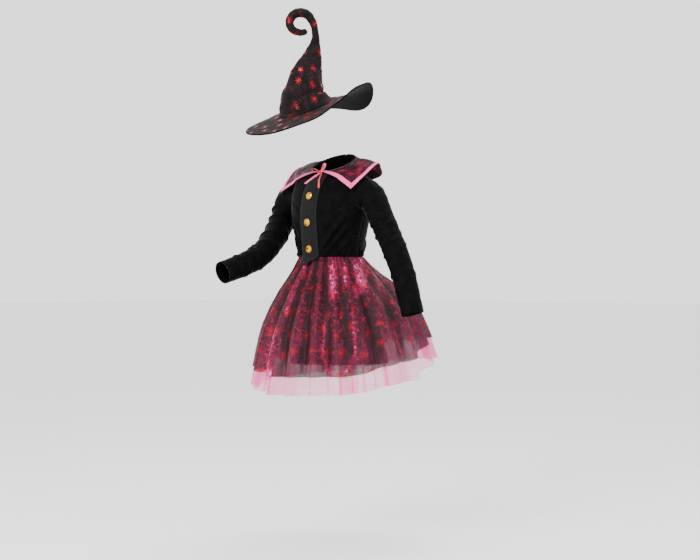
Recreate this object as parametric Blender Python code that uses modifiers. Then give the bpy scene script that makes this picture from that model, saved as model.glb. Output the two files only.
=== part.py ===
"""Witch costume for a child of about 128 cm: a dress and a pointed hat, worn, with no wearer.

Metres, +Z up. The front of the dress faces -Y and the wearer's left is +X. The origin is the
middle of the neck opening on the shoulder line. Every cloth piece is a wall of even thickness
on a surface worked out from the sizes and tables below.
"""

import math

import bmesh
import bpy
import numpy as np
from mathutils import Matrix, Vector

# Cloth and seams
VELVET_WALL = 0.0015
SHEER_WALL = 0.0010
COLLAR_WALL = 0.0012
FELT_WALL = 0.0022
SEAM = 0.0003
SEAM_ANGLE = math.radians(0.4)

# The view in which the hat, the arms and the skirt's flare were measured
VIEW_TURN = math.radians(42)
ACROSS = np.array([math.cos(VIEW_TURN), math.sin(VIEW_TURN), 0.0])
NEARER = np.array([math.sin(VIEW_TURN), -math.cos(VIEW_TURN), 0.0])
UP = np.array([0.0, 0.0, 1.0])

# Bodice rings: height at the side, how far the front dips, half width, half depth, middle
BODICE_RINGS = np.array([
    # height   dip    half_w  half_d  middle_y
    (-0.290, 0.000, 0.1010, 0.0830, 0.000),
    (-0.262, 0.000, 0.0985, 0.0800, 0.000),
    (-0.215, 0.000, 0.1060, 0.0870, 0.000),
    (-0.165, 0.000, 0.1180, 0.0940, 0.000),
    (-0.130, 0.000, 0.1260, 0.0950, 0.000),
    (-0.085, 0.004, 0.1300, 0.0890, 0.000),
    (-0.038, 0.010, 0.1210, 0.0720, 0.002),
    (-0.016, 0.018, 0.0970, 0.0600, 0.006),
    (0.004, 0.028, 0.0670, 0.0540, 0.012),
])
WAIST_Z = -0.262
NECK_Z = 0.004
ARMHOLE_MIDDLE_Z = -0.084
ARMHOLE_HALF_HEIGHT = 0.046
ARMHOLE_OPEN = math.radians(33)
FRONT_COLUMNS = 8

# Front panel and its buttons
PANEL_TOP_HALF = 0.030
PANEL_FOOT_HALF = 0.033
PANEL_TOP_Z = -0.010
PANEL_LIFT = 0.0010
PANEL_WALL = 0.0012
PANEL_POINT_DROP = 0.022
PANEL_LEAN = 0.006
PANEL_POINT_KICK = 1.0
PANEL_WAIST_STAND = 0.0030
PANEL_WAIST_EASE = 0.008
BUTTON_RADIUS = 0.0105
BUTTON_HEIGHT = 0.0042
BUTTON_HEIGHTS = {"top": -0.088, "middle": -0.166, "bottom": -0.240}

# Sleeves: the centre line's points, and the radius along it
SLEEVE_LINES = {
    "left": ((0.124, 0.000, -0.084), (0.158, 0.001, -0.104), (0.191, 0.003, -0.165),
             (0.224, 0.006, -0.228), (0.258, 0.009, -0.305), (0.291, 0.013, -0.420)),
    "right": ((-0.124, 0.000, -0.084), (-0.160, -0.004, -0.100), (-0.162, -0.028, -0.150),
              (-0.144, -0.080, -0.202), (-0.122, -0.152, -0.251), (-0.119, -0.220, -0.281),
              (-0.129, -0.300, -0.307)),
}
SLEEVE_RADII = ((0.00, 0.0470), (0.08, 0.0455), (0.18, 0.0400), (0.30, 0.0362), (0.60, 0.0345),
                (1.00, 0.0315))
SLEEVE_STAND_OFF = 0.0010
SLEEVE_ROWS = 15
SLEEVE_SIDES = 20
SLEEVE_FOLDS = 6
SLEEVE_FOLD_DEPTH = 0.0018

# Collar, wearer's left half: the points of its outer edge, from the front point to the back
COLLAR_EDGE = ((0.135, -0.066, -0.076), (0.149, -0.022, -0.036), (0.152, 0.026, -0.003),
               (0.136, 0.058, -0.012), (0.108, 0.086, -0.034), (0.0006, 0.098, -0.052))
COLLAR_EDGE_STEPS = (0.0, 0.30, 0.56, 0.66, 0.76, 1.0)
COLLAR_START_TURN = math.radians(4)
COLLAR_COLUMNS = 20
COLLAR_ROWS = 5
COLLAR_CLEAR = 0.0062
COLLAR_HUMP = 0.006
TRIM_WIDTH_SHARE = 0.09
TRIM_COLUMNS_SHARE = 0.07
TRIM_WALL = 0.0014
TRIM_FRONT_SHARE = 0.36
TRIM_STEPS = 34
TRIM_START = 0.05
TRIM_END = 0.985
TRIM_LIFT = 0.0017

# Bow of satin ribbon
BOW_PLACE = np.array([0.0095, -0.0545, -0.0228])
RIBBON_WIDTH = 0.006
RIBBON_WALL = 0.0010
KNOT_SIZE = (0.0090, 0.0066, 0.0080)
TAIL_CLEAR = 0.0068
TAIL_APART = 0.0031
LOOP_SWELL = 0.0030
LOOP_HALF_HEIGHT = 0.0042
TAIL_TILT = 0.35

# Skirt: flutes, and what share of the flare is reached at each share of the drop
FLUTES = 20
COLUMNS_A_FLUTE = 6
FLARE = ((0.0, 0.0), (0.10, 0.12), (0.20, 0.26), (0.30, 0.42), (0.45, 0.61), (0.60, 0.77),
         (0.72, 0.86), (0.85, 0.93), (1.00, 1.00), (1.30, 1.12))
HEM_RADIUS = 0.243
HEM_SHIFT = 0.030
FLUTE_DEPTH_AT_WAIST = 0.0012
FLUTE_DEPTH_AT_HEM = 0.0120
# What makes the flutes uneven in spacing and depth
FLUTE_DRIFT = 0.80
FLUTE_SWELL = 0.25
FLUTE_JITTER = 0.20
# Hem heights round the skirt, in degrees from the viewer's right towards the viewer
MESH_HEM = ((0, -0.490), (45, -0.552), (90, -0.588), (135, -0.592), (180, -0.572),
            (225, -0.556), (270, -0.540), (315, -0.505))
TULLE_HEM = ((0, -0.548), (45, -0.606), (90, -0.636), (135, -0.642), (180, -0.626),
             (225, -0.612), (270, -0.598), (315, -0.560))
MESH_SHARES = (0.0, 0.06, 0.20, 0.40, 0.70, 1.0)
TULLE_SHARES = (0.0, 0.06, 0.20, 0.40, 0.70, 1.0)
LAYER_STEP_AT_WAIST = 0.0016
LAYER_STEP = 0.0055
LINING_HEM_Z = -0.562
LINING_RADIUS = 0.139
LINING_SHIFT = 0.022
LINING_SIDES = 40
LINING_SHARES = (0.0, 0.08, 0.25, 0.60, 1.0)
LINING_WAVES = 7
LINING_WAVE_DEPTH = 0.005

# Hat crown: across, height and radius of each section, seen in the measured view
CROWN_SECTIONS = np.array([
    # across   height  radius
    (-0.0727, 0.1640, 0.0790),
    (-0.0770, 0.1760, 0.0715),
    (-0.0805, 0.1975, 0.0640),
    (-0.0760, 0.2190, 0.0560),
    (-0.0705, 0.2450, 0.0478),
    (-0.0640, 0.2720, 0.0385),
    (-0.0554, 0.2985, 0.0284),
    (-0.0492, 0.3240, 0.0203),
    (-0.0455, 0.3440, 0.0147),
    (-0.0437, 0.3630, 0.0105),
    (-0.0460, 0.3840, 0.0088),
])
# The tip's curl turns about its own middle: the reach to its middle line and the tube's
# radius at each turn, in degrees from the viewer's right
CURL_MIDDLE = (-0.0870, 0.4020)
CURL_REACH = ((-24, 0.0445), (0, 0.0365), (18, 0.0325), (81, 0.0300), (175, 0.0310),
              (252, 0.0260), (298, 0.0272))
CURL_TUBE = ((-24, 0.0088), (18, 0.0098), (81, 0.0120), (175, 0.0104), (252, 0.0088),
             (298, 0.0070))
CURL_ROWS = 16
CROWN_SIDES = 18
CROWN_DENTS = 4
CROWN_DENT_DEPTH = 0.0022
CROWN_DENT_ROWS = 9
CROWN_SQUARE_ROWS = 4
HAT_NEARER = 0.030
# What stands nearer the viewer looks larger, so its measured size shrinks about the view's aim
HAT_SHRINK = 0.9933
VIEW_AIM = (0.054, -0.327)

# Hat brim
BRIM_MIDDLE = (-0.0620, 0.1585)
BRIM_RADIUS = 0.189
BRIM_SLOPE = math.radians(19.3)
BRIM_TIP = math.radians(15.9)
BRIM_BAND_RADIUS = 0.0770
BRIM_BAND_DROP = 0.0017
BRIM_WALL = 0.0032
# Lift of the outer edge, in degrees from the viewer's right towards the viewer
BRIM_LIFT = ((0, 0.002), (22, 0.030), (45, 0.038), (65, 0.024), (90, 0.003), (135, -0.004),
             (180, 0.000), (240, -0.012), (270, -0.026), (296, -0.052), (312, -0.072),
             (324, -0.070), (338, -0.050), (350, -0.024))
BRIM_SIDES = 48
BRIM_ROWS = 6

COLOURS = {
    # colour, roughness, metallic
    "black velvet": ((0.012, 0.012, 0.013), 0.90, 0.0),
    "charcoal suiting": ((0.030, 0.032, 0.034), 0.85, 0.0),
    "gilt button": ((0.680, 0.420, 0.110), 0.30, 1.0),
    "foil mesh collar": ((0.140, 0.012, 0.045), 0.45, 0.3),
    "pink picot": ((0.930, 0.340, 0.590), 0.60, 0.0),
    "satin ribbon": ((0.680, 0.012, 0.032), 0.35, 0.0),
    "foil mesh skirt": ((0.160, 0.010, 0.040), 0.45, 0.3),
    "pink tulle": ((0.930, 0.350, 0.620), 0.80, 0.0),
    "black lining": ((0.010, 0.010, 0.011), 0.55, 0.0),
    "foil print felt": ((0.020, 0.012, 0.014), 0.75, 0.1),
}


def unit(vector):
    return vector / np.linalg.norm(vector)


def catmull(points, share):
    """The point at a share of the way along a smooth curve through evenly counted points."""
    points = np.asarray(points, float)
    spans = len(points) - 1
    at = min(max(share, 0.0), 1.0) * spans
    i = min(int(at), spans - 1)
    t = at - i
    before = points[i - 1] if i > 0 else 2 * points[0] - points[1]
    after = points[i + 2] if i + 2 <= spans else 2 * points[-1] - points[-2]
    a, b = points[i], points[i + 1]
    bend = 2 * a - 2 * b + (b - before) / 2 + (after - a) / 2
    turn = -3 * a + 3 * b - (b - before) - (after - a) / 2
    return a + (b - before) / 2 * t + turn * t * t + bend * t**3


def round_table(table, degrees):
    """A smooth closed curve through rows of (degrees, value)."""
    turns = [row[0] for row in table]
    values = [row[1] for row in table]
    degrees = degrees % 360
    i = max(k for k in range(len(turns)) if turns[k] <= degrees)
    j = (i + 1) % len(turns)
    width = (turns[j] - turns[i]) % 360
    t = (degrees - turns[i]) / width
    ease = t * t * (3 - 2 * t)
    return values[i] + (values[j] - values[i]) * ease


def read_rows(table, share):
    return float(np.interp(share, [row[0] for row in table], [row[1] for row in table]))


def make_material(name):
    colour, roughness, metallic = COLOURS[name]
    material = bpy.data.materials.new(name)
    material.use_nodes = True
    shader = material.node_tree.nodes["Principled BSDF"]
    shader.inputs["Base Color"].default_value = (*colour, 1.0)
    shader.inputs["Roughness"].default_value = roughness
    shader.inputs["Metallic"].default_value = metallic
    material.diffuse_color = (*colour, 1.0)
    return material


def add_object(name, mesh, material):
    obj = bpy.data.objects.new(name, mesh)
    obj.data.materials.append(make_material(material))
    bpy.data.collections["witch_costume"].objects.link(obj)
    mesh.shade_smooth()
    return obj


def add_wall(obj, wall, offset=-1.0):
    solidify = obj.modifiers.new("cloth wall", "SOLIDIFY")
    solidify.thickness = wall
    solidify.offset = offset
    solidify.use_quality_normals = True
    solidify.thickness_clamp = 0.0


def add_cloth(name, rows, wall, material, closed=False, tip=None):
    """A cloth wall through rows of points. The wall lies behind the surface, whose normals
    point out where the rows rise and each row runs anticlockwise seen from above."""
    rows = np.asarray(rows, float)
    count, across = rows.shape[:2]
    points = rows.reshape(-1, 3).tolist()
    faces = []
    for i in range(count - 1):
        for j in range(across if closed else across - 1):
            k = (j + 1) % across
            faces.append((i * across + j, i * across + k,
                          (i + 1) * across + k, (i + 1) * across + j))
    if tip is not None:
        points.append(list(tip))
        last = (count - 1) * across
        faces += [(last + j, last + (j + 1) % across, len(points) - 1) for j in range(across)]
    mesh = bpy.data.meshes.new(name)
    mesh.from_pydata(points, [], faces)
    mesh.update()
    obj = add_object(name, mesh, material)
    add_wall(obj, wall)
    return obj


def body_ring(height):
    """The dip, half width, half depth and middle of the bodice at a side height."""
    heights = BODICE_RINGS[:, 0]
    return [float(np.interp(height, heights, BODICE_RINGS[:, k])) for k in range(1, 5)]


def body(turn, height, out=0.0):
    """A point on the bodice: turn 0 is the front, a quarter turn is the wearer's left."""
    dip, half_width, half_depth, middle = body_ring(height)
    return np.array([
        (half_width + out) * math.sin(turn),
        middle - (half_depth + out) * math.cos(turn),
        height - dip * math.cos(turn),
    ])


def outside_body(point, gap):
    """The point, moved out level until it is a gap clear of the bodice."""
    x, y, z = point
    height = z
    for _ in range(4):
        dip, half_width, half_depth, middle = body_ring(height)
        length = math.hypot(x, y - middle) or 1.0
        height = z - dip * (y - middle) / length
    if height > NECK_Z:
        return point
    reach = math.hypot(x / (half_width + gap), (y - middle) / (half_depth + gap))
    if reach >= 1.0:
        return point
    return np.array([x / reach, middle + (y - middle) / reach, z])


def armhole_turn(height):
    """How far round the front panel reaches at a height: a quarter turn but for the armhole."""
    off = (height - ARMHOLE_MIDDLE_Z) / ARMHOLE_HALF_HEIGHT
    if abs(off) >= 1.0:
        return math.pi / 2 - SEAM_ANGLE
    return math.pi / 2 - SEAM_ANGLE - ARMHOLE_OPEN * math.sqrt(1.0 - off * off)


def bodice_heights():
    low = ARMHOLE_MIDDLE_Z - ARMHOLE_HALF_HEIGHT
    high = ARMHOLE_MIDDLE_Z + ARMHOLE_HALF_HEIGHT
    below = np.linspace(WAIST_Z, low, 5)[:-1]
    turns = np.linspace(-math.pi / 2, math.pi / 2, 8)
    beside = ARMHOLE_MIDDLE_Z + ARMHOLE_HALF_HEIGHT * np.sin(turns)
    above = np.linspace(high, NECK_Z, 4)[1:]
    return np.concatenate([below, beside, above])


def build_bodice():
    shares = np.linspace(0.0, 1.0, FRONT_COLUMNS + 1)
    for side, sign in (("left", 1), ("right", -1)):
        rows = []
        for height in bodice_heights():
            turns = SEAM_ANGLE + shares * (armhole_turn(height) - SEAM_ANGLE)
            row = [body(sign * turn, height) for turn in turns]
            rows.append(row if sign > 0 else row[::-1])
        add_cloth(f"bodice_front_{side}", rows, VELVET_WALL, "black velvet")
    back = []
    for height in bodice_heights():
        edge = math.pi - armhole_turn(height)
        turns = np.linspace(edge, 2 * math.pi - edge, 2 * FRONT_COLUMNS + 1)
        back.append([body(turn, height) for turn in turns])
    add_cloth("bodice_back", back, VELVET_WALL, "black velvet")


def panel_point(across, height):
    """A point on the front panel: across runs from -1 to 1, height is that of its row."""
    out = PANEL_LIFT + PANEL_WALL
    drop = max(0.0, WAIST_Z - height)
    stand = min(1.0, max(0.0, (WAIST_Z + PANEL_WAIST_EASE - height) / PANEL_WAIST_EASE))
    share = (height - WAIST_Z) / (PANEL_TOP_Z - WAIST_Z)
    half = PANEL_FOOT_HALF + (PANEL_TOP_HALF - PANEL_FOOT_HALF) * share
    half_width = body_ring(height)[1] + out
    lean = PANEL_LEAN * (2 * max(share, 0.0) - 1)
    turn = math.asin((across * half + lean) / half_width)
    return body(turn, height, out + PANEL_WAIST_STAND * stand + PANEL_POINT_KICK * drop)


def build_panel():
    heights = [WAIST_Z, WAIST_Z + PANEL_WAIST_EASE]
    heights += [h for h in bodice_heights() if heights[1] < h < PANEL_TOP_Z - SEAM] + [PANEL_TOP_Z]
    columns = np.linspace(-1.0, 1.0, 7)
    rows = []
    for share in (1.0, 0.5):
        drops = [SEAM + PANEL_POINT_DROP * share * (1 - abs(a)) for a in columns]
        rows.append([panel_point(a, WAIST_Z - drop) for a, drop in zip(columns, drops)])
    rows += [[panel_point(a, height) for a in columns] for height in heights]
    add_cloth("front_panel", rows, PANEL_WALL, "charcoal suiting")


def build_buttons():
    """Domed buttons, each a turned profile, standing square to the panel."""
    dome = [(math.cos(t) * BUTTON_RADIUS, 0.0016 + math.sin(t) * (BUTTON_HEIGHT - 0.0016))
            for t in np.linspace(math.pi / 2, 0.0, 6)]
    profile = [(0.0, dome[0][1])] + dome[1:] + [(BUTTON_RADIUS, 0.0004), (0.0, 0.0004)]
    for name, height in BUTTON_HEIGHTS.items():
        mesh = bpy.data.meshes.new(f"button_{name}")
        points = [(x, 0.0, z) for x, z in profile]
        mesh.from_pydata(points, [(i, i + 1) for i in range(len(points) - 1)], [])
        obj = add_object(f"button_{name}", mesh, "gilt button")
        screw = obj.modifiers.new("turned", "SCREW")
        screw.steps = 20
        screw.render_steps = 20
        screw.use_merge_vertices = True
        screw.merge_threshold = 0.00005
        place = panel_point(0.0, height)
        along = unit(panel_point(0.0, height + 0.008) - panel_point(0.0, height - 0.008))
        out = np.cross(np.array([1.0, 0.0, 0.0]), along)
        turn = Matrix((Vector((1.0, 0.0, 0.0)), Vector(along), Vector(out))).transposed()
        obj.matrix_world = Matrix.Translation(Vector(place)) @ turn.to_4x4()


def armhole_ring(side, count):
    """The armhole's edge, moved off the bodice by the stand-off, anticlockwise seen from
    outside."""
    sign = 1 if side == "left" else -1
    ring = []
    for j in range(count):
        angle = 2 * math.pi * j / count
        height = ARMHOLE_MIDDLE_Z + ARMHOLE_HALF_HEIGHT * math.sin(angle)
        turn = math.pi / 2 + math.copysign(
            ARMHOLE_OPEN * abs(math.cos(angle)), math.cos(angle))
        point = body(turn, height)
        ring.append(np.array([sign * (point[0] + SLEEVE_STAND_OFF), point[1], point[2]]))
    return ring if sign > 0 else [ring[-j] for j in range(count)]


def sleeve_frames(side):
    """Centre, radius and two cross directions at each row, carried along without a twist."""
    line = SLEEVE_LINES[side]
    sign = 1 if side == "left" else -1
    shares = np.linspace(0.0, 1.0, SLEEVE_ROWS)
    first = np.array([0.0, 1.0, 0.0])
    frames = []
    for share in shares:
        ahead = unit(catmull(line, min(share + 0.01, 1.0)) - catmull(line, max(share - 0.01, 0.0)))
        if share < 0.2:
            ahead = unit(ahead * share / 0.2 + np.array([sign, 0.0, 0.0]) * (1 - share / 0.2))
        first = unit(first - ahead * float(first @ ahead))
        second = np.cross(ahead, first)
        frames.append((share, catmull(line, share), read_rows(SLEEVE_RADII, share), first, second))
    return frames


def build_sleeve(side):
    frames = sleeve_frames(side)
    seam = armhole_ring(side, SLEEVE_SIDES)
    rows = [seam]
    for share, centre, radius, first, second in frames[1:]:
        row = []
        for j in range(SLEEVE_SIDES):
            angle = 2 * math.pi * j / SLEEVE_SIDES
            fold = math.cos(SLEEVE_FOLDS * math.pi * share + 2.0 * math.cos(angle))
            reach = radius + SLEEVE_FOLD_DEPTH * fold * min(1.0, 3 * share)
            row.append(centre + reach * (first * math.cos(angle) + second * math.sin(angle)))
        rows.append(row)
    add_cloth(f"sleeve_{side}", rows, VELVET_WALL, "black velvet", closed=True)


def collar_point(across, out):
    """A point on the left half: across 0 is the front edge and 1 the back seam, out 0 is the
    neckline and 1 the outer edge."""
    turn = COLLAR_START_TURN + (math.pi - COLLAR_START_TURN - SEAM_ANGLE * 4) * across
    neck = body(turn, NECK_Z) + UP * (COLLAR_WALL + SEAM * 5)
    edge_share = float(np.interp(across, COLLAR_EDGE_STEPS, np.linspace(0, 1, len(COLLAR_EDGE))))
    edge = catmull(COLLAR_EDGE, edge_share)
    point = neck + (edge - neck) * out + UP * COLLAR_HUMP * math.sin(math.pi * out)
    gap = 0.0015 + COLLAR_CLEAR * min(1.0, out / 0.08)
    return outside_body(point, gap)


def build_collar():
    columns = np.linspace(0.0, 1.0, COLLAR_COLUMNS + 1)
    outs = np.linspace(1.0, 0.0, COLLAR_ROWS + 1)
    for side, sign in (("left", 1), ("right", -1)):
        rows = [[collar_point(a, o) * np.array([sign, 1, 1]) for a in columns] for o in outs]
        if sign < 0:
            rows = [row[::-1] for row in rows]
        add_cloth(f"collar_{side}", rows, COLLAR_WALL, "foil mesh collar")


def trim_pair(share):
    """The outer and inner point of the trim at a share of the way round the collar's edge."""
    if share < TRIM_FRONT_SHARE:
        across, out = 0.0, TRIM_START + (1 - TRIM_START) * share / TRIM_FRONT_SHARE
    else:
        across, out = (share - TRIM_FRONT_SHARE) / (1 - TRIM_FRONT_SHARE), 1.0
    inner = (max(across, TRIM_COLUMNS_SHARE), min(out, 1.0 - TRIM_WIDTH_SHARE))
    return np.array([collar_point(across, out), collar_point(*inner)])


def build_trim():
    lift = UP * (TRIM_WALL + TRIM_LIFT)
    for side, sign in (("left", 1), ("right", -1)):
        pairs = [trim_pair(share) for share in np.linspace(0.0, TRIM_END, TRIM_STEPS)]
        rows = np.array(pairs).transpose(1, 0, 2) + lift
        away = np.array([1.0, 1.0, 0.0]) * 0.0016
        rows[..., 0] += away[0] * 0.6
        rows[..., 1] += np.sign(rows[..., 1]) * away[1]
        rows = rows * np.array([sign, 1, 1])
        if sign < 0:
            rows = rows[:, ::-1]
        add_cloth(f"trim_{side}", rows, TRIM_WALL, "pink picot")


def ribbon_strip(name, path, width_way):
    """A strip of ribbon along a path, its width along width_way."""
    half = unit(np.asarray(width_way, float)) * RIBBON_WIDTH / 2
    path = np.asarray(path, float)
    rows = [path - half, path + half]
    add_cloth(name, rows, RIBBON_WALL, "satin ribbon")


def loop_path(reach, drop, steps=12):
    """A loop that leaves the knot and comes back: a teardrop that reaches out and drops."""
    path = []
    for t in np.linspace(0.0, 1.0, steps):
        swell = math.sin(math.pi * t) ** 0.8
        rise = LOOP_HALF_HEIGHT * math.sin(2 * math.pi * t) * swell
        apart = RIBBON_WALL * 1.3 * math.cos(math.pi * t)
        path.append((reach * swell, -LOOP_SWELL * swell, drop * swell + rise + apart))
    return np.array(path)


def build_bow():
    mesh = bpy.data.meshes.new("bow_knot")
    shape = bmesh.new()
    bmesh.ops.create_uvsphere(shape, u_segments=12, v_segments=8, radius=0.5)
    bmesh.ops.scale(shape, vec=KNOT_SIZE, verts=shape.verts)
    shape.to_mesh(mesh)
    shape.free()
    knot = add_object("bow_knot", mesh, "satin ribbon")
    knot.location = BOW_PLACE
    near = KNOT_SIZE[0] / 2 + SEAM
    for side, sign, reach, drop in (("left", 1, 0.016, 0.020), ("right", -1, 0.022, 0.006)):
        path = loop_path(reach, drop) * np.array([sign, 1, 1])
        path = path + BOW_PLACE + np.array([sign * near, 0, 0.0])
        ribbon_strip(f"bow_loop_{side}", path if sign > 0 else path[::-1], (0, -1, 0.0))
    for side, sign, end in (("left", 1, (0.012, -0.012, -0.044)),
                            ("right", -1, (-0.030, -0.014, -0.030))):
        start = BOW_PLACE + np.array([sign * TAIL_APART, 0.0, -KNOT_SIZE[2] / 2 + SEAM])
        path = [outside_body(start + np.array(end) * s, TAIL_CLEAR)
                for s in np.linspace(0.0, 1.0, 7)]
        ribbon_strip(f"bow_tail_{side}", path, (1, 0, TAIL_TILT * sign))


def waist_reach(x, y):
    """The waistline's reach from the axis towards a level unit direction."""
    _, half_width, half_depth, _ = body_ring(WAIST_Z)
    return 1.0 / math.hypot(x / half_width, y / half_depth)


def skirt_radius(angle, height, inset, waist_inset):
    """The level reach of a skirt layer from its axis, and the axis's shift to the side.

    The angle runs from the viewer's right towards the viewer. The flare follows the mesh
    layer's hem, so that layers with the same waves lie one inside the other."""
    degrees = math.degrees(angle)
    hem = round_table(MESH_HEM, degrees)
    share = (WAIST_Z - height) / (WAIST_Z - hem)
    flare = read_rows(FLARE, share)
    x, y = (ACROSS * math.cos(angle) + NEARER * math.sin(angle))[:2]
    waist = waist_reach(x, y)
    grow = min(1.0, share / 0.25)
    depth = FLUTE_DEPTH_AT_WAIST + (FLUTE_DEPTH_AT_HEM - FLUTE_DEPTH_AT_WAIST) * flare
    phase = FLUTES * angle + FLUTE_DRIFT * math.sin(3 * angle + 0.6)
    uneven = 1.0 + FLUTE_SWELL * math.cos(2 * angle + 1.0) + FLUTE_JITTER * math.cos(7 * angle)
    wave = depth * math.cos(phase) * uneven
    base = waist + (HEM_RADIUS - waist) * flare
    layer = waist_inset + (inset - waist_inset) * grow
    return base + wave - layer, HEM_SHIFT * flare


def skirt_layer(name, hem_table, shares, layers_in, material):
    count = FLUTES * COLUMNS_A_FLUTE
    rows = []
    for share in shares:
        row = []
        for j in range(count):
            # The viewer's right to the viewer is clockwise from above, so the turn is negative
            angle = -2 * math.pi * j / count
            hem = round_table(hem_table, math.degrees(angle))
            top = WAIST_Z - SEAM * 2
            height = top + (hem - top) * share
            radius, shift = skirt_radius(
                angle, height, LAYER_STEP * layers_in, LAYER_STEP_AT_WAIST * layers_in)
            way = ACROSS * math.cos(angle) + NEARER * math.sin(angle)
            row.append(way * radius + ACROSS * shift + UP * height)
        rows.append(row)
    add_cloth(name, rows[::-1], SHEER_WALL, material, closed=True)


def build_lining():
    rows = []
    top = WAIST_Z - SEAM * 2
    for share in LINING_SHARES:
        row = []
        for j in range(LINING_SIDES):
            angle = -2 * math.pi * j / LINING_SIDES
            way = ACROSS * math.cos(angle) + NEARER * math.sin(angle)
            waist = waist_reach(way[0], way[1])
            waist -= 2 * LAYER_STEP_AT_WAIST + FLUTE_DEPTH_AT_WAIST
            wave = LINING_WAVE_DEPTH * share * math.cos(LINING_WAVES * angle + 0.5)
            radius = waist + (LINING_RADIUS - waist) * share + wave
            height = top + (LINING_HEM_Z - top) * share
            row.append(way * radius + ACROSS * LINING_SHIFT * share + UP * height)
        rows.append(row)
    add_cloth("skirt_lining", rows[::-1], SHEER_WALL, "black lining", closed=True)


def brim_axes():
    """The brim plane's right, near and up directions."""
    right = ACROSS * math.cos(BRIM_SLOPE) + UP * math.sin(BRIM_SLOPE)
    square = UP * math.cos(BRIM_SLOPE) - ACROSS * math.sin(BRIM_SLOPE)
    near = NEARER * math.cos(BRIM_TIP) - square * math.sin(BRIM_TIP)
    return right, near, np.cross(near, right)


def hat_place(across, height):
    across = VIEW_AIM[0] + (across - VIEW_AIM[0]) * HAT_SHRINK
    height = VIEW_AIM[1] + (height - VIEW_AIM[1]) * HAT_SHRINK
    return ACROSS * across + NEARER * HAT_NEARER + UP * height


def curl_section(degrees):
    """The place and tube radius of the tip's curl at a turn about its middle."""
    reach = read_rows(CURL_REACH, degrees)
    angle = math.radians(degrees)
    place = hat_place(CURL_MIDDLE[0] + reach * math.cos(angle),
                      CURL_MIDDLE[1] + reach * math.sin(angle))
    return place, read_rows(CURL_TUBE, degrees)


def build_crown():
    square = brim_axes()[2]
    line = [(hat_place(u, z), r) for u, z, r in CROWN_SECTIONS]
    turns = np.linspace(CURL_REACH[0][0], CURL_REACH[-1][0], CURL_ROWS)
    line += [curl_section(degrees) for degrees in turns[1:]]
    centres = np.array([centre for centre, _ in line])
    rows = []
    for i, (centre, radius) in enumerate(line):
        ahead = unit(centres[min(i + 1, len(line) - 1)] - centres[max(i - 1, 0)])
        tilt = max(0.0, 1.0 - i / CROWN_SQUARE_ROWS)
        ahead = unit(ahead * (1 - tilt) + square * tilt)
        first = unit(np.cross(NEARER, ahead))
        second = np.cross(ahead, first)
        row = []
        for j in range(CROWN_SIDES):
            angle = 2 * math.pi * j / CROWN_SIDES
            swell = math.sin(math.pi * min(i / CROWN_DENT_ROWS, 1))
            reach = radius + CROWN_DENT_DEPTH * math.cos(CROWN_DENTS * angle + i) * swell
            row.append(centre + reach * (first * math.cos(angle) + second * math.sin(angle)))
        rows.append(row)
    last, radius = line[-1]
    ahead = unit(centres[-1] - centres[-2])
    ring = np.array(rows[-1])
    rows.append(last + ahead * radius * 0.5 + (ring - last) * 0.80)
    add_cloth("hat_crown", rows, FELT_WALL, "foil print felt", closed=True,
              tip=last + ahead * radius * 0.85)


def build_brim():
    right, near, square = brim_axes()
    middle = hat_place(*BRIM_MIDDLE)
    band = hat_place(CROWN_SECTIONS[0, 0], CROWN_SECTIONS[0, 1]) - square * BRIM_BAND_DROP
    rows = []
    for share in np.linspace(1.0, 0.0, BRIM_ROWS):
        row = []
        for j in range(BRIM_SIDES):
            angle = -2 * math.pi * j / BRIM_SIDES
            way = right * math.cos(angle) + near * math.sin(angle)
            lift = round_table(BRIM_LIFT, math.degrees(angle)) * share**1.6
            outer = middle + way * BRIM_RADIUS
            inner = band + way * BRIM_BAND_RADIUS
            row.append(inner + (outer - inner) * share + square * lift)
        rows.append(row)
    add_cloth("hat_brim", rows, BRIM_WALL, "foil print felt", closed=True)


def build_costume():
    build_bodice()
    build_panel()
    build_buttons()
    for side in ("left", "right"):
        build_sleeve(side)
    build_collar()
    build_trim()
    build_bow()
    skirt_layer("skirt_mesh", MESH_HEM, MESH_SHARES, 0, "foil mesh skirt")
    skirt_layer("skirt_tulle", TULLE_HEM, TULLE_SHARES, 1, "pink tulle")
    build_lining()
    build_crown()
    build_brim()


for old in list(bpy.data.objects):
    bpy.data.objects.remove(old)
costume = bpy.data.collections.new("witch_costume")
bpy.context.scene.collection.children.link(costume)
build_costume()
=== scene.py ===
"""Witch costume: velvet bodice, foil-printed mesh skirt over tulle, and a pointed hat.

Metres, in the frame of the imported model: the dress's front faces -Y, its left is +X,
and the origin is the middle of the neck opening. Each cloth is a surface worked out on a grid.
"""

import bpy
import numpy as np
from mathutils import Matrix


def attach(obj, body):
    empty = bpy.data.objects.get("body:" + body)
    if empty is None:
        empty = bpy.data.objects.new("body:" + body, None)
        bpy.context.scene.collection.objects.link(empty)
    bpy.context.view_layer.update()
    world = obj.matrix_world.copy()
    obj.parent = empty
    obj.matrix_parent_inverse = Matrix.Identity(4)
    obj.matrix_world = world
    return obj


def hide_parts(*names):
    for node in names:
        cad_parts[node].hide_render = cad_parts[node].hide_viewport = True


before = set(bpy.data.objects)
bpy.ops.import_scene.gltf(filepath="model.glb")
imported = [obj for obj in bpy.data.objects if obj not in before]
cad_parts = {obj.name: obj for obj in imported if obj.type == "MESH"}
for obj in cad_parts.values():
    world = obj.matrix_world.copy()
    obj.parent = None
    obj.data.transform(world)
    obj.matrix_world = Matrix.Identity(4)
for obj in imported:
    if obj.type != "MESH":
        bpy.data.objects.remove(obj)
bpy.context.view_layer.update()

# The photographed view's own directions
VIEW_TURN = np.radians(42)
ACROSS = np.array([np.cos(VIEW_TURN), np.sin(VIEW_TURN), 0.0])
NEARER = np.array([np.sin(VIEW_TURN), -np.cos(VIEW_TURN), 0.0])
UP = np.array([0.0, 0.0, 1.0])
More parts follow.
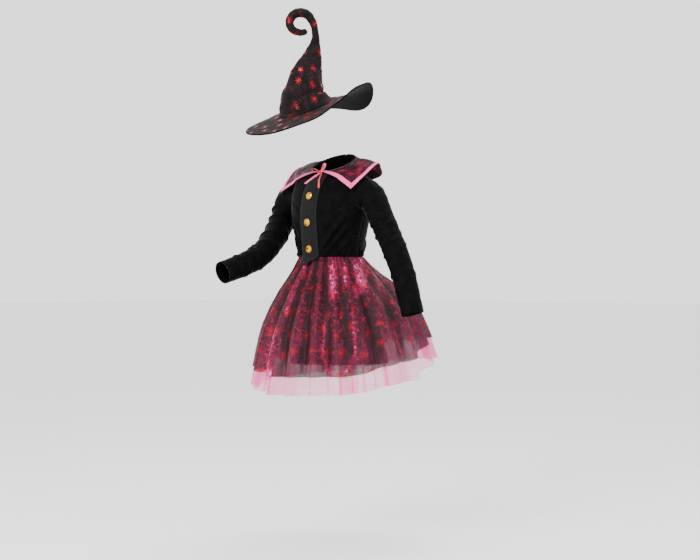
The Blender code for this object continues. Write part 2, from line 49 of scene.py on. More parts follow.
VIEW_AIM = (0.054, -0.327)
FLOOR_Z = -1.065
FLOOR_HALF = 40.0
WORLD_STRENGTH = 1.9
LENS = 81.5
CAMERA_AWAY = 4.5

# Bodice rings: height at the side, how far the front dips, half width, half depth, middle
BODICE_RINGS = np.array([
    (-0.290, 0.000, 0.1010, 0.0830, 0.000),
    (-0.262, 0.000, 0.0985, 0.0800, 0.000),
    (-0.215, 0.000, 0.1060, 0.0870, 0.000),
    (-0.165, 0.000, 0.1180, 0.0940, 0.000),
    (-0.130, 0.000, 0.1260, 0.0950, 0.000),
    (-0.085, 0.004, 0.1300, 0.0890, 0.000),
    (-0.038, 0.010, 0.1210, 0.0720, 0.002),
    (-0.016, 0.018, 0.0970, 0.0600, 0.006),
    (0.004, 0.028, 0.0670, 0.0540, 0.012),
])
WAIST_Z = -0.262
WAIST_HALF_WIDTH = 0.0985
WAIST_HALF_DEPTH = 0.0800
NECK_Z = 0.004
ARMHOLE_Z = -0.084
ARMHOLE_HALF = 0.046
ARMHOLE_OPEN = np.radians(33)
VELVET_WALL = 0.0015

# Soft folds in the velvet: (turn in degrees, height) at each end, width and depth in metres
BODICE_FOLDS = (
    # From the foot of the panel up to the left armhole
    (16, -0.252, 58, -0.146, 0.0050, 0.0030),
    (18, -0.262, 62, -0.160, 0.0040, -0.0022),
    (22, -0.262, 66, -0.172, 0.0050, 0.0028),
    (30, -0.263, 70, -0.186, 0.0045, -0.0020),
    (38, -0.263, 76, -0.204, 0.0048, 0.0024),
    (14, -0.232, 52, -0.138, 0.0045, -0.0018),
    (12, -0.205, 46, -0.132, 0.0060, 0.0018),
    (46, -0.262, 82, -0.222, 0.0040, 0.0020),
    (20, -0.120, 56, -0.092, 0.0060, 0.0016),
    (22, -0.150, 60, -0.118, 0.0055, -0.0014),
    # The same pull towards the right armhole, in its own lengths and places
    (-18, -0.256, -57, -0.150, 0.0052, 0.0026),
    (-21, -0.263, -64, -0.170, 0.0042, -0.0020),
    (-29, -0.262, -69, -0.184, 0.0052, 0.0026),
    (-37, -0.263, -77, -0.207, 0.0044, -0.0018),
    (-45, -0.262, -83, -0.226, 0.0046, 0.0022),
    (-17, -0.212, -49, -0.139, 0.0060, 0.0017),
    (-20, -0.128, -54, -0.100, 0.0058, 0.0014),
    # Folds at the small of the back and up to each shoulder blade
    (112, -0.255, 150, -0.196, 0.0055, 0.0024),
    (122, -0.262, 163, -0.212, 0.0045, -0.0018),
    (134, -0.262, 172, -0.226, 0.0050, 0.0022),
    (246, -0.254, 209, -0.190, 0.0055, 0.0023),
    (236, -0.262, 200, -0.208, 0.0045, -0.0018),
    (224, -0.262, 190, -0.229, 0.0050, 0.0021),
    (118, -0.132, 152, -0.094, 0.0070, 0.0018),
    (240, -0.128, 206, -0.088, 0.0070, 0.0018),
    (170, -0.160, 192, -0.152, 0.0060, -0.0014),
    # Short gathers that stand up from the waist seam
    (48, -0.266, 49, -0.232, 0.0030, 0.0016),
    (58, -0.266, 61, -0.238, 0.0028, 0.0018),
    (67, -0.266, 70, -0.230, 0.0032, 0.0017),
    (79, -0.266, 80, -0.240, 0.0028, 0.0015),
    (96, -0.266, 97, -0.234, 0.0030, 0.0016),
    (106, -0.266, 108, -0.240, 0.0030, 0.0018),
    (141, -0.266, 142, -0.236, 0.0034, 0.0016),
    (158, -0.266, 158, -0.241, 0.0030, 0.0015),
    (181, -0.266, 180, -0.236, 0.0036, 0.0016),
    (203, -0.266, 201, -0.240, 0.0032, 0.0015),
    (219, -0.266, 217, -0.233, 0.0034, 0.0017),
    (251, -0.266, 250, -0.238, 0.0030, 0.0018),
    (263, -0.266, 262, -0.235, 0.0030, 0.0015),
    (-52, -0.266, -53, -0.234, 0.0030, 0.0016),
    (-63, -0.266, -66, -0.239, 0.0028, 0.0017),
    (-75, -0.266, -76, -0.231, 0.0032, 0.0016),
)
BODICE_GIRTH = 0.115
BODICE_FOLD_SCALE = 2.2
BODICE_FOLD_FLOOR = -0.0035

# Front panel and its buttons
PANEL_TOP_HALF = 0.030
PANEL_FOOT_HALF = 0.033
PANEL_TOP_Z = -0.010
PANEL_OUT = 0.0022
PANEL_WALL = 0.0012
PANEL_POINT_DROP = 0.022
PANEL_LEAN = 0.006
PANEL_WAIST_STAND = 0.0030
PANEL_WAIST_EASE = 0.008
BUTTON_RADIUS = 0.0105
BUTTON_HEIGHTS = {"top": -0.088, "middle": -0.166, "bottom": -0.240}
# Button profile: share of the radius, and height above the panel
BUTTON_PROFILE = ((0.0, 0.00435), (0.16, 0.00430), (0.32, 0.00410), (0.48, 0.00372),
                  (0.60, 0.00322), (0.70, 0.00262), (0.76, 0.00222), (0.80, 0.00210),
                  (0.84, 0.00232), (0.89, 0.00252), (0.94, 0.00246), (0.98, 0.00212),
                  (1.0, 0.00160), (0.985, 0.00105), (0.93, 0.00060), (0.80, 0.00045),
                  (0.40, 0.00040), (0.0, 0.00040))

# Sleeves: the centre line's points, and the radius along it
SLEEVE_LINES = {
    "left": np.array([
        (0.124, 0.000, -0.084), (0.158, 0.001, -0.104), (0.191, 0.003, -0.165),
        (0.224, 0.006, -0.228), (0.258, 0.009, -0.305), (0.291, 0.013, -0.420)]),
    "right": np.array([
        (-0.124, 0.000, -0.084), (-0.160, -0.004, -0.100), (-0.162, -0.028, -0.150),
        (-0.144, -0.080, -0.202), (-0.122, -0.152, -0.251), (-0.119, -0.220, -0.281),
        (-0.129, -0.300, -0.307)]),
}
SLEEVE_SHARES = (0.00, 0.08, 0.18, 0.30, 0.60, 1.00)
SLEEVE_RADII = (0.0470, 0.0455, 0.0400, 0.0362, 0.0345, 0.0315)
SLEEVE_STAND_OFF = 0.0010
SLEEVE_GIRTH = 0.036
SLEEVE_LENGTH = 0.36
SLEEVE_FOLD_SCALE = 1.7
# Sleeve folds: (degrees round the arm, share along it) at each end, width and depth in metres
SLEEVE_FOLDS = {
    "left": (
        (150, 0.02, 165, 0.22, 0.0060, 0.0022), (195, 0.02, 200, 0.26, 0.0050, -0.0018),
        (215, 0.01, 235, 0.20, 0.0060, 0.0024), (100, 0.02, 120, 0.20, 0.0055, 0.0018),
        (300, 0.04, 320, 0.20, 0.0060, 0.0018), (30, 0.05, 50, 0.20, 0.0060, 0.0020),
        (120, 0.36, 250, 0.43, 0.0060, 0.0030), (140, 0.46, 280, 0.41, 0.0050, -0.0024),
        (60, 0.44, 220, 0.50, 0.0055, 0.0026), (200, 0.52, 330, 0.47, 0.0050, 0.0026),
        (280, 0.38, 420, 0.45, 0.0055, 0.0022), (300, 0.55, 420, 0.50, 0.0050, -0.0020),
        (90, 0.58, 230, 0.63, 0.0045, 0.0022), (180, 0.69, 320, 0.64, 0.0045, 0.0022),
        (20, 0.62, 150, 0.68, 0.0045, 0.0020), (260, 0.73, 400, 0.70, 0.0040, 0.0018),
        (110, 0.77, 240, 0.73, 0.0042, 0.0022), (200, 0.80, 330, 0.84, 0.0040, 0.0020),
        (30, 0.83, 160, 0.79, 0.0040, 0.0018), (130, 0.87, 260, 0.90, 0.0040, 0.0020),
        (280, 0.90, 420, 0.87, 0.0038, 0.0018),
    ),
    "right": (
        (20, 0.02, 40, 0.24, 0.0060, 0.0022), (70, 0.02, 85, 0.22, 0.0055, 0.0020),
        (250, 0.02, 265, 0.22, 0.0060, 0.0020), (330, 0.02, 345, 0.24, 0.0060, 0.0022),
        (290, 0.02, 300, 0.20, 0.0050, -0.0016), (190, 0.05, 205, 0.20, 0.0060, 0.0018),
        (200, 0.26, 330, 0.31, 0.0055, 0.0030), (230, 0.35, 350, 0.30, 0.0050, -0.0024),
        (190, 0.38, 340, 0.36, 0.0055, 0.0030), (210, 0.44, 360, 0.48, 0.0050, 0.0026),
        (10, 0.34, 140, 0.40, 0.0055, 0.0020), (30, 0.50, 170, 0.46, 0.0050, 0.0020),
        (150, 0.54, 290, 0.57, 0.0045, 0.0022), (260, 0.62, 400, 0.58, 0.0045, 0.0022),
        (80, 0.60, 210, 0.65, 0.0045, 0.0020), (190, 0.70, 330, 0.67, 0.0042, 0.0022),
        (320, 0.73, 450, 0.77, 0.0042, 0.0020), (110, 0.77, 240, 0.74, 0.0040, 0.0020),
        (210, 0.81, 350, 0.85, 0.0040, 0.0020), (10, 0.88, 150, 0.84, 0.0040, 0.0018),
        (160, 0.90, 280, 0.87, 0.0038, 0.0018),
    ),
}

# Collar: the points of its outer edge, from the front point to the middle of the back
COLLAR_EDGE = np.array([
    (0.135, -0.066, -0.076), (0.149, -0.022, -0.036), (0.152, 0.026, -0.003),
    (0.136, 0.058, -0.012), (0.108, 0.086, -0.034), (0.0006, 0.098, -0.052)])
COLLAR_STEPS = (0.0, 0.30, 0.56, 0.66, 0.76, 1.0)
COLLAR_START = np.radians(4)
COLLAR_WALL = 0.0012
COLLAR_HUMP = 0.006
COLLAR_CLEAR = 0.0062
# Waves of the stiff collar: (across, out) at each end in shares, width share and depth
COLLAR_WAVES = (
    (0.06, 0.10, 0.14, 0.95, 0.050, 0.0020), (0.20, 0.15, 0.30, 1.00, 0.045, -0.0018),
    (0.36, 0.20, 0.40, 1.00, 0.050, 0.0022), (0.50, 0.15, 0.52, 0.95, 0.040, -0.0016),
    (0.62, 0.20, 0.64, 0.98, 0.045, 0.0018), (0.82, 0.10, 0.84, 0.95, 0.050, 0.0018),
    (0.94, 0.20, 0.92, 1.00, 0.040, -0.0014),
)
TRIM_WALL = 0.0010
TRIM_FRONT_SHARE = 0.36

# Bow of satin ribbon
BOW_PLACE = np.array([0.0095, -0.0545, -0.0228])
RIBBON_WIDTH = 0.0072
KNOT_SIZE = np.array([0.0090, 0.0066, 0.0080])

# Skirt: flutes, and what share of the flare is reached at each share of the drop
FLUTES = 20
FLARE_DROPS = (0.0, 0.10, 0.20, 0.30, 0.45, 0.60, 0.72, 0.85, 1.00, 1.30)
FLARE_SHARES = (0.0, 0.12, 0.26, 0.42, 0.61, 0.77, 0.86, 0.93, 1.00, 1.12)
HEM_RADIUS = 0.243
HEM_SHIFT = 0.030
FLUTE_DEPTH_AT_WAIST = 0.0012
FLUTE_DEPTH_AT_HEM = 0.0120
# Hem heights round the skirt, in degrees from the viewer's right towards the viewer
MESH_HEM = ((0, -0.490), (45, -0.552), (90, -0.588), (135, -0.592), (180, -0.572),
            (225, -0.556), (270, -0.540), (315, -0.505), (360, -0.490))
TULLE_HEM = ((0, -0.548), (45, -0.606), (90, -0.636), (135, -0.642), (180, -0.626),
             (225, -0.612), (270, -0.598), (315, -0.560), (360, -0.548))
LINING_TOP_Z = -0.2626
LINING_HEM_Z = -0.562
LINING_RADIUS = 0.139
LINING_SHIFT = 0.022
# Creases of the mesh layer on the viewer's side: (across, height) at each end, width, depth
MESH_FOLDS_NEAR = (
    (0.008, -0.262, 0.008, -0.375, 0.009, 0.005), (0.040, -0.262, 0.043, -0.350, 0.007, 0.004),
    (0.080, -0.262, 0.084, -0.368, 0.010, 0.005), (-0.066, -0.27, -0.170, -0.560, 0.011, 0.006),
    (-0.040, -0.290, -0.110, -0.575, 0.009, -0.0045),
    (-0.012, -0.390, -0.018, -0.560, 0.009, 0.0045),
    (0.062, -0.400, 0.070, -0.560, 0.009, 0.0045), (0.020, -0.42, 0.022, -0.590, 0.010, -0.004),
    (0.110, -0.280, 0.160, -0.520, 0.009, 0.005), (0.140, -0.290, 0.215, -0.500, 0.009, -0.004),
    (0.125, -0.420, 0.140, -0.580, 0.008, 0.0045), (0.190, -0.400, 0.245, -0.520, 0.008, 0.004),
)
MESH_FOLDS_FAR = (
    (-0.03, -0.262, -0.048, -0.40, 0.009, 0.005), (0.02, -0.262, 0.03, -0.38, 0.008, 0.0045),
    (0.065, -0.265, 0.10, -0.45, 0.010, 0.005), (-0.08, -0.28, -0.16, -0.54, 0.010, 0.005),
    (-0.01, -0.36, 0.0, -0.54, 0.009, -0.004), (0.11, -0.30, 0.19, -0.50, 0.009, 0.0045),
    (0.05, -0.40, 0.07, -0.53, 0.009, 0.004), (-0.06, -0.40, -0.09, -0.56, 0.009, 0.004),
)
# Painted highlight, where the foil is made to catch the light: (across, height) at each end, width
# and strength
SHINE_NEAR = (
    (0.010, -0.248, 0.008, -0.385, 0.0130, 1.00), (0.041, -0.262, 0.044, -0.352, 0.0090, 0.80),
    (0.080, -0.235, 0.084, -0.372, 0.0170, 1.00), (0.102, -0.300, 0.070, -0.380, 0.0100, 0.55),
    (-0.062, -0.250, -0.082, -0.330, 0.0080, 0.60), (-0.090, -0.320, -0.128, -0.440, 0.0080, 0.35),
    (-0.150, -0.420, -0.190, -0.640, 0.0120, 0.65), (-0.165, -0.560, -0.200, -0.660, 0.0160, 0.95),
    (-0.012, -0.405, -0.022, -0.560, 0.0070, 0.75), (-0.022, -0.520, 0.020, -0.640, 0.0080, 0.70),
    (0.015, -0.625, 0.072, -0.520, 0.0080, 0.70), (0.060, -0.410, 0.072, -0.560, 0.0070, 0.60),
    (0.200, -0.270, 0.204, -0.340, 0.0100, 0.75), (0.230, -0.290, 0.240, -0.350, 0.0090, 0.70),
    (0.160, -0.420, 0.205, -0.560, 0.0070, 0.60), (0.030, -0.600, 0.050, -0.680, 0.0100, 0.80),
    (0.100, -0.560, 0.108, -0.650, 0.0060, 0.45), (0.145, -0.600, 0.160, -0.690, 0.0060, 0.55),
    (0.170, -0.330, 0.240, -0.480, 0.0110, 0.35), (0.280, -0.520, 0.300, -0.600, 0.0090, 0.50),
    (-0.060, -0.380, -0.100, -0.560, 0.0080, 0.30), (0.120, -0.280, 0.150, -0.420, 0.0100, 0.45),
)
SHINE_FAR = (
    (-0.030, -0.245, -0.046, -0.390, 0.0140, 0.95), (0.020, -0.250, 0.028, -0.370, 0.0110, 0.80),
    (0.065, -0.245, 0.090, -0.400, 0.0150, 0.90), (-0.085, -0.300, -0.150, -0.500, 0.0100, 0.50),
    (-0.010, -0.420, 0.000, -0.600, 0.0080, 0.65), (0.110, -0.330, 0.180, -0.520, 0.0110, 0.55),
    (0.050, -0.470, 0.076, -0.620, 0.0100, 0.80), (-0.070, -0.460, -0.095, -0.600, 0.0120, 0.75),
)

# Hat crown: across, height and radius of each section, seen in the photographed view
CROWN_SECTIONS = np.array([
    (-0.0727, 0.1640, 0.0790), (-0.0770, 0.1760, 0.0715), (-0.0805, 0.1975, 0.0640),
    (-0.0760, 0.2190, 0.0560), (-0.0705, 0.2450, 0.0478), (-0.0640, 0.2720, 0.0385),
    (-0.0554, 0.2985, 0.0284), (-0.0492, 0.3240, 0.0203), (-0.0455, 0.3440, 0.0147),
    (-0.0437, 0.3630, 0.0105), (-0.0460, 0.3840, 0.0088),
])
CURL_MIDDLE = (-0.0870, 0.4020)
CURL_REACH = ((-24, 0, 18, 81, 175, 252, 298),
              (0.0445, 0.0365, 0.0325, 0.0300, 0.0310, 0.0260, 0.0272))
CURL_TUBE = ((-24, 18, 81, 175, 252, 298), (0.0088, 0.0098, 0.0120, 0.0104, 0.0088, 0.0070))
CURL_ROWS = 16
CROWN_SQUARE_ROWS = 4
HAT_NEARER = 0.030
HAT_SHRINK = 0.9933
CROWN_GIRTH = 0.045
CROWN_ROW = 0.024
FELT_WALL = 0.0022
# Creases of the crown: (degrees round it, row) at each end, width in metres and depth
CROWN_FOLDS = (
    (40, 1.0, 150, 3.2, 0.0060, -0.0030), (120, 2.2, 250, 4.6, 0.0060, 0.0026),
    (250, 1.4, 380, 3.4, 0.0065, -0.0028), (300, 3.4, 430, 5.0, 0.0060, 0.0026),
    (20, 4.0, 130, 5.4, 0.0055, -0.0026), (160, 5.0, 300, 6.4, 0.0050, 0.0022),
    (200, 3.0, 300, 1.6, 0.0060, 0.0022), (60, 6.0, 190, 7.0, 0.0045, -0.0020),
    (280, 6.4, 400, 7.6, 0.0040, 0.0018), (100, 7.6, 230, 8.6, 0.0035, -0.0014),
    (330, 0.8, 420, 2.2, 0.0065, 0.0024), (190, 0.6, 260, 1.8, 0.0060, -0.0022),
)

# Hat brim
BRIM_MIDDLE = (-0.0620, 0.1585)
BRIM_RADIUS = 0.189
BRIM_SLOPE = np.radians(19.3)
BRIM_TIP = np.radians(15.9)
BRIM_BAND_RADIUS = 0.0770
BRIM_BAND_DROP = 0.0017
BRIM_WALL = 0.0032
# Lift of the outer edge, in degrees from the viewer's right towards the viewer
BRIM_LIFT = ((0, 0.002), (22, 0.030), (45, 0.038), (65, 0.024), (90, 0.003), (135, -0.004),
             (180, 0.000), (240, -0.012), (270, -0.026), (296, -0.052), (312, -0.072),
             (324, -0.070), (338, -0.050), (350, -0.024), (360, 0.002))


# Curves and surfaces

def unit(vectors):
    return vectors / np.maximum(np.linalg.norm(vectors, axis=-1, keepdims=True), 1e-12)


def catmull(points, shares):
    """Points at shares of the way along a smooth cubic curve through the given points."""
    spans = len(points) - 1
    at = np.clip(shares, 0.0, 1.0) * spans
    i = np.minimum(at.astype(int), spans - 1)
    t = (at - i)[..., None]
    padded = np.concatenate([[2 * points[0] - points[1]], points, [2 * points[-1] - points[-2]]])
    before, a, b, after = padded[i], padded[i + 1], padded[i + 2], padded[i + 3]
    bend = 2 * a - 2 * b + (b - before) / 2 + (after - a) / 2
    turn = -3 * a + 3 * b - (b - before) - (after - a) / 2
    return a + (b - before) / 2 * t + turn * t**2 + bend * t**3


def round_table(table, degrees):
    """Values round a closed table of (degrees, value), eased from row to row by 3t2 - 2t3."""
    turns, values = np.array(table).T
    degrees = np.mod(degrees, 360.0)
    i = np.clip(np.searchsorted(turns, degrees, side="right") - 1, 0, len(turns) - 2)
    t = (degrees - turns[i]) / (turns[i + 1] - turns[i])
    return values[i] + (values[i + 1] - values[i]) * t * t * (3 - 2 * t)


def smooth_step(low, high, value):
    t = np.clip((value - low) / (high - low), 0.0, 1.0)
    return t * t * (3 - 2 * t)


def soft_folds(x, y, folds):
    """Sum of soft ridges and troughs. Each is a bell across its own line, exp(-(off / width)
    squared), and fades to both ends as the sine of its share along the line."""
    total = np.zeros(np.broadcast(x, y).shape)
    for x0, y0, x1, y1, width, depth in folds:
        length = np.hypot(x1 - x0, y1 - y0)
        along = ((x - x0) * (x1 - x0) + (y - y0) * (y1 - y0)) / length**2
        off = ((x - x0) * (y1 - y0) - (y - y0) * (x1 - x0)) / length
        fade = np.sin(np.pi * np.clip(along, 0.0, 1.0)) ** 0.7
        total += depth * np.exp(-((off / width) ** 2)) * fade
    return total


def outward(points, closed=False):
    """Unit normals of a grid whose rows rise and whose columns run anticlockwise."""
    if closed:
        ring = points[:, :-1]
        across = np.roll(ring, -1, axis=1) - np.roll(ring, 1, axis=1)
        across = np.concatenate([across, across[:, :1]], axis=1)
    else:
        across = np.gradient(points, axis=1)
    return unit(np.cross(across, np.gradient(points, axis=0)))


def press(points, depth, closed=False):
    """The surface moved along its own normals by a depth at each point."""
    return points + outward(points, closed) * depth[..., None]


def measured(points):
    """Lengths along the rows and along the columns, summed from the first of each, in metres:
    the flat cloth's own coordinates."""
    steps_across = np.linalg.norm(np.diff(points, axis=1), axis=-1)
    steps_up = np.linalg.norm(np.diff(points, axis=0), axis=-1)
    u = np.concatenate([np.zeros((len(points), 1)), np.cumsum(steps_across, axis=1)], axis=1)
    v = np.cumsum(np.mean(steps_up, axis=1))
    v = np.concatenate([[0.0], v])[:, None] * np.ones_like(u)
    return u - u[:, -1:] / 2, v


def cloth(name, points, finish, wall=0.0, closed=False, flat=None, values=None, under=None):
    """A sheet through a grid of points. A closed grid repeats its first column as its last.
    flat holds the cloth's own u and v, values are named numbers kept on the points."""
    rows, columns = points.shape[:2]
    kept = points[:, :-1] if closed else points
    i, j = np.meshgrid(np.arange(rows - 1), np.arange(columns - 1), indexing="ij")
    corner_rows = np.stack([i, i, i + 1, i + 1], axis=-1).reshape(-1, 4)
    corner_columns = np.stack([j, j + 1, j + 1, j], axis=-1).reshape(-1, 4)
    faces = corner_rows * kept.shape[1] + corner_columns % kept.shape[1]
    mesh = bpy.data.meshes.new(name)
    mesh.from_pydata(kept.reshape(-1, 3).tolist(), [], faces.tolist())
    u, v = flat if flat is not None else measured(points)
    places = np.stack([u, v], axis=-1)[corner_rows, corner_columns]
    mesh.uv_layers.new(name="cloth").data.foreach_set("uv", places.reshape(-1))
    for key, numbers in (values or {}).items():
        numbers = numbers[:, :-1] if closed else numbers
        attribute = mesh.attributes.new(key, "FLOAT", "POINT")
        attribute.data.foreach_set("value", np.ascontiguousarray(numbers).reshape(-1))
    mesh.shade_smooth()
    piece = bpy.data.objects.new(name, mesh)
    bpy.context.scene.collection.objects.link(piece)
    mesh.materials.append(finish)
    if wall:
        thicken = piece.modifiers.new("cloth wall", "SOLIDIFY")
        thicken.thickness = wall
        thicken.offset = -1.0
        thicken.use_quality_normals = True
        if under is not None:
            mesh.materials.append(under)
            thicken.material_offset = 1
            thicken.material_offset_rim = 1
    return piece


def place_in_part(piece, nodes):
    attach(piece, "root")
    if nodes:
        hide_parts(*nodes)
    return piece


def body(turn, height, out=0.0):
    """Bodice surface: at each height an ellipse, x = half width times sine of the turn and
    y = middle - half depth times its cosine, whose front dips by the dip times the cosine."""
    dip, half_width, half_depth, middle = (
        np.interp(height, BODICE_RINGS[:, 0], BODICE_RINGS[:, k]) for k in range(1, 5))
    return np.stack(np.broadcast_arrays(
        (half_width + out) * np.sin(turn),
        middle - (half_depth + out) * np.cos(turn),
        height - dip * np.cos(turn)), axis=-1)


def clear_of_body(points, gap):
    """The points, moved out level until each is the gap clear of the bodice's ellipse."""
    x, y, z = points[..., 0], points[..., 1], points[..., 2]
    height = z
    for _ in range(4):
        dip, half_width, half_depth, middle = (
            np.interp(height, BODICE_RINGS[:, 0], BODICE_RINGS[:, k]) for k in range(1, 5))
        length = np.maximum(np.hypot(x, y - middle), 1e-6)
        height = z - dip * (y - middle) / length
    reach = np.hypot(x / (half_width + gap), (y - middle) / (half_depth + gap))
    inside = (height <= NECK_Z) & (reach < 1.0)
    grow = np.where(inside, 1.0 / np.maximum(reach, 1e-6), 1.0)
    return np.stack([x * grow, middle + (y - middle) * grow, z], axis=-1)


# Finishes

def dye(code):
    """Linear colour of a six-digit screen colour."""
    parts = np.array([int(code[k:k + 2], 16) / 255 for k in (1, 3, 5)])
    linear = np.where(parts <= 0.04045, parts / 12.92, ((parts + 0.055) / 1.055) ** 2.4)
    return (*linear.tolist(), 1.0)


class Signal:
    """A number or colour inside a shader, with the usual signs for sums and products."""

    def __init__(self, finish, socket):
        self.finish, self.socket = finish, socket

    def __add__(self, other):
        return self.finish.calc("ADD", self, other)

    def __sub__(self, other):
        return self.finish.calc("SUBTRACT", self, other)

    def __rsub__(self, other):
        return self.finish.calc("SUBTRACT", other, self)

    def __mul__(self, other):
        return self.finish.calc("MULTIPLY", self, other)

    def __truediv__(self, other):
        return self.finish.calc("DIVIDE", self, other)


class Finish:
    """A cloth finish: a Principled shader and short calls that add nodes to it."""

    def __init__(self, name, **constants):
        self.material = bpy.data.materials.new(name)
        self.material.use_nodes = True
        self.tree = self.material.node_tree
        self.shader = self.tree.nodes["Principled BSDF"]
        self.set(**constants)

    def add(self, kind, *inputs, output=0, **settings):
        """A new node with its inputs fed in order, or by name, and its settings set."""
        node = self.tree.nodes.new("ShaderNode" + kind)
        for key, value in settings.items():
            if key in node.inputs:
                self.feed(node.inputs[key], value)
            else:
                setattr(node, key, value)
        for index, value in enumerate(inputs):
            self.feed(node.inputs[index], value)
        return Signal(self, node.outputs[output])

    def feed(self, socket, value):
        if isinstance(value, Signal):
            self.tree.links.new(value.socket, socket)
        else:
            socket.default_value = value

    def set(self, **sockets):
        for key, value in sockets.items():
            self.feed(self.shader.inputs[key.replace("_", " ")], value)

    def calc(self, operation, *inputs, clamp=False):
        return self.add("Math", *inputs, operation=operation, use_clamp=clamp)

    def sine(self, value):
        return self.calc("SINE", value)

    def most(self, first, second, clamp=False):
        return self.calc("MAXIMUM", first, second, clamp=clamp)

    def vector(self, operation, *inputs, output=0):
        return self.add("VectorMath", *inputs, operation=operation, output=output)

    def split(self, vector):
        """The first two coordinates of a vector."""
        node = self.tree.nodes.new("ShaderNodeSeparateXYZ")
        self.feed(node.inputs[0], vector)
        return Signal(self, node.outputs[0]), Signal(self, node.outputs[1])

    def place(self):
        return self.add("TexCoord", output=3)

    def flat(self):
        return self.add("UVMap", uv_map="cloth")

    def value(self, name):
        return self.add("Attribute", attribute_name=name, output=2)

    def noise(self, where, scale, detail=2.0, rough=0.5, output=0):
        return self.add("TexNoise", output=output, Vector=where, Scale=scale, Detail=detail,
                        Roughness=rough)

    def edges(self, where, scale):
        """Distance to the nearest edge between the cells of a flat uneven pattern."""
        return self.add("TexVoronoi", feature="DISTANCE_TO_EDGE", voronoi_dimensions="2D",
                        Vector=where, Scale=scale)

    def remap(self, value, low, high, to_low=0.0, to_high=1.0):
        return self.add("MapRange", value, low, high, to_low, to_high, clamp=True)

    def blend(self, share, first, second):
        node = self.tree.nodes.new("ShaderNodeMix")
        node.data_type = "RGBA"
        for index, value in ((0, share), (6, first), (7, second)):
            self.feed(node.inputs[index], value)
        return Signal(self, node.outputs[2])

    def bump(self, height, distance, strength=1.0):
        self.set(Normal=self.add("Bump", Height=height, Distance=distance, Strength=strength))

    def spiders(self, where, cell, reach, seed):
        """Mask of small spiders, one to a cell, each turned and shifted by its cell's own
        numbers: an oval body, a round head, and eight legs where |sin 4 angle| times the
        distance is thin. Every second row of cells starts half a cell along."""
        u, v = self.split(self.vector("ADD", where, (seed, seed * 0.7, 0.0)))
        v = v / cell
        row = self.calc("FLOOR", v)
        u = u / cell + self.calc("FLOORED_MODULO", row, 2.0) * 0.5
        own = self.add("CombineXYZ", self.calc("FLOOR", u), row, seed)
        chance = self.add("TexWhiteNoise", own)
        chances = self.add("TexWhiteNoise", own, output=1)
        local = self.add("CombineXYZ", self.calc("FRACT", u) - 0.5, self.calc("FRACT", v) - 0.5,
                         0.0)
        shift = self.vector("MULTIPLY", self.vector("SUBTRACT", chances, (0.5, 0.5, 0.5)),
                            (0.42, 0.42, 0.0))
        local = self.vector("MULTIPLY", self.vector("ADD", local, shift), (cell, cell, 0.0))
        local = self.add("VectorRotate", rotation_type="Z_AXIS", Vector=local,
                         Angle=chance * 6.283)
        x, y = self.split(local)
        far = self.vector("LENGTH", local, output=1)
        bent = self.calc("ARCTAN2", y, x) + far * (0.35 / reach)
        thin = self.calc("ABSOLUTE", self.sine(bent * 4.0)) * far
        legs = self.remap(thin, reach * 0.12, reach * 0.28, 1.0, 0.0) \
            * self.remap(far, reach * 0.86, reach, 1.0, 0.0)
        oval = self.vector("LENGTH", self.vector(
            "DIVIDE", local, (reach * 0.28, reach * 0.38, 1.0)), output=1)
        head = self.vector("DISTANCE", local, (0.0, reach * 0.50, 0.0), output=1)
        mask = self.most(legs, self.remap(oval, 0.9, 1.1, 1.0, 0.0))
        return self.most(mask, self.remap(head, reach * 0.20, reach * 0.26, 1.0, 0.0))

    def crackle(self, where, cell, thickness):
        """Mask of a broken web of fine foil lines: the edges between uneven cells."""
        wander = self.noise(where, 1.2 / cell, 2.0, 0.6, output=1)
        moved = self.vector("ADD", where, self.vector(
            "MULTIPLY", self.vector("SUBTRACT", wander, (0.5, 0.5, 0.5)),
            (cell * 1.6, cell * 1.6, 0.0)))
        lines = self.remap(self.edges(moved, 1.0 / cell), thickness * 0.4, thickness, 1.0, 0.0)
        return lines * self.remap(self.noise(where, 0.55 / cell, 3.0, 0.7), 0.42, 0.56)


def black_velvet():
    """Pile with a soft sheen, brushed lighter and darker in patches."""
    velvet = Finish("black velvet", Roughness=0.78, Sheen_Weight=0.22, Sheen_Roughness=0.24,
                    Sheen_Tint=(0.60, 0.60, 0.64, 1.0), Specular_IOR_Level=0.06)
    where = velvet.place()
    nap = velvet.noise(where, 46.0, 4.0, 0.6)
    brushed = velvet.remap(nap, 0.35, 0.68)
    velvet.set(Base_Color=velvet.blend(brushed, dye("#000000"), dye("#060607")))
    velvet.bump(velvet.noise(where, 1500.0, 2.0, 0.7) + nap * 1.6, 0.00035, 0.55)
    return velvet.material


def charcoal_suiting():
    """Twill of fine slanting ribs, with a row of stitches beside each edge."""
    panel = Finish("charcoal suiting", Roughness=0.84, Sheen_Weight=0.05,
                   Specular_IOR_Level=0.15)
    u, v = panel.split(panel.flat())
    slant = panel.sine((u + v) * 4200.0)
    blotch = panel.noise(panel.place(), 90.0, 4.0, 0.6)
    ground = panel.blend(panel.remap(blotch, 0.3, 0.7), dye("#030303"), dye("#0c0d0e"))
    near_line = panel.remap(panel.calc("ABSOLUTE", panel.value("edge") - 0.0042),
                            0.0003, 0.0006, 1.0, 0.0)
    stitch = near_line * panel.remap(panel.sine(v * 2094.0), -0.35, 0.0)
    panel.set(Base_Color=panel.blend(stitch, ground, dye("#26282b")))
    panel.bump(slant * 0.20 + stitch * 1.2 - near_line * 0.6 + blotch, 0.00022, 0.6)
    return panel.material


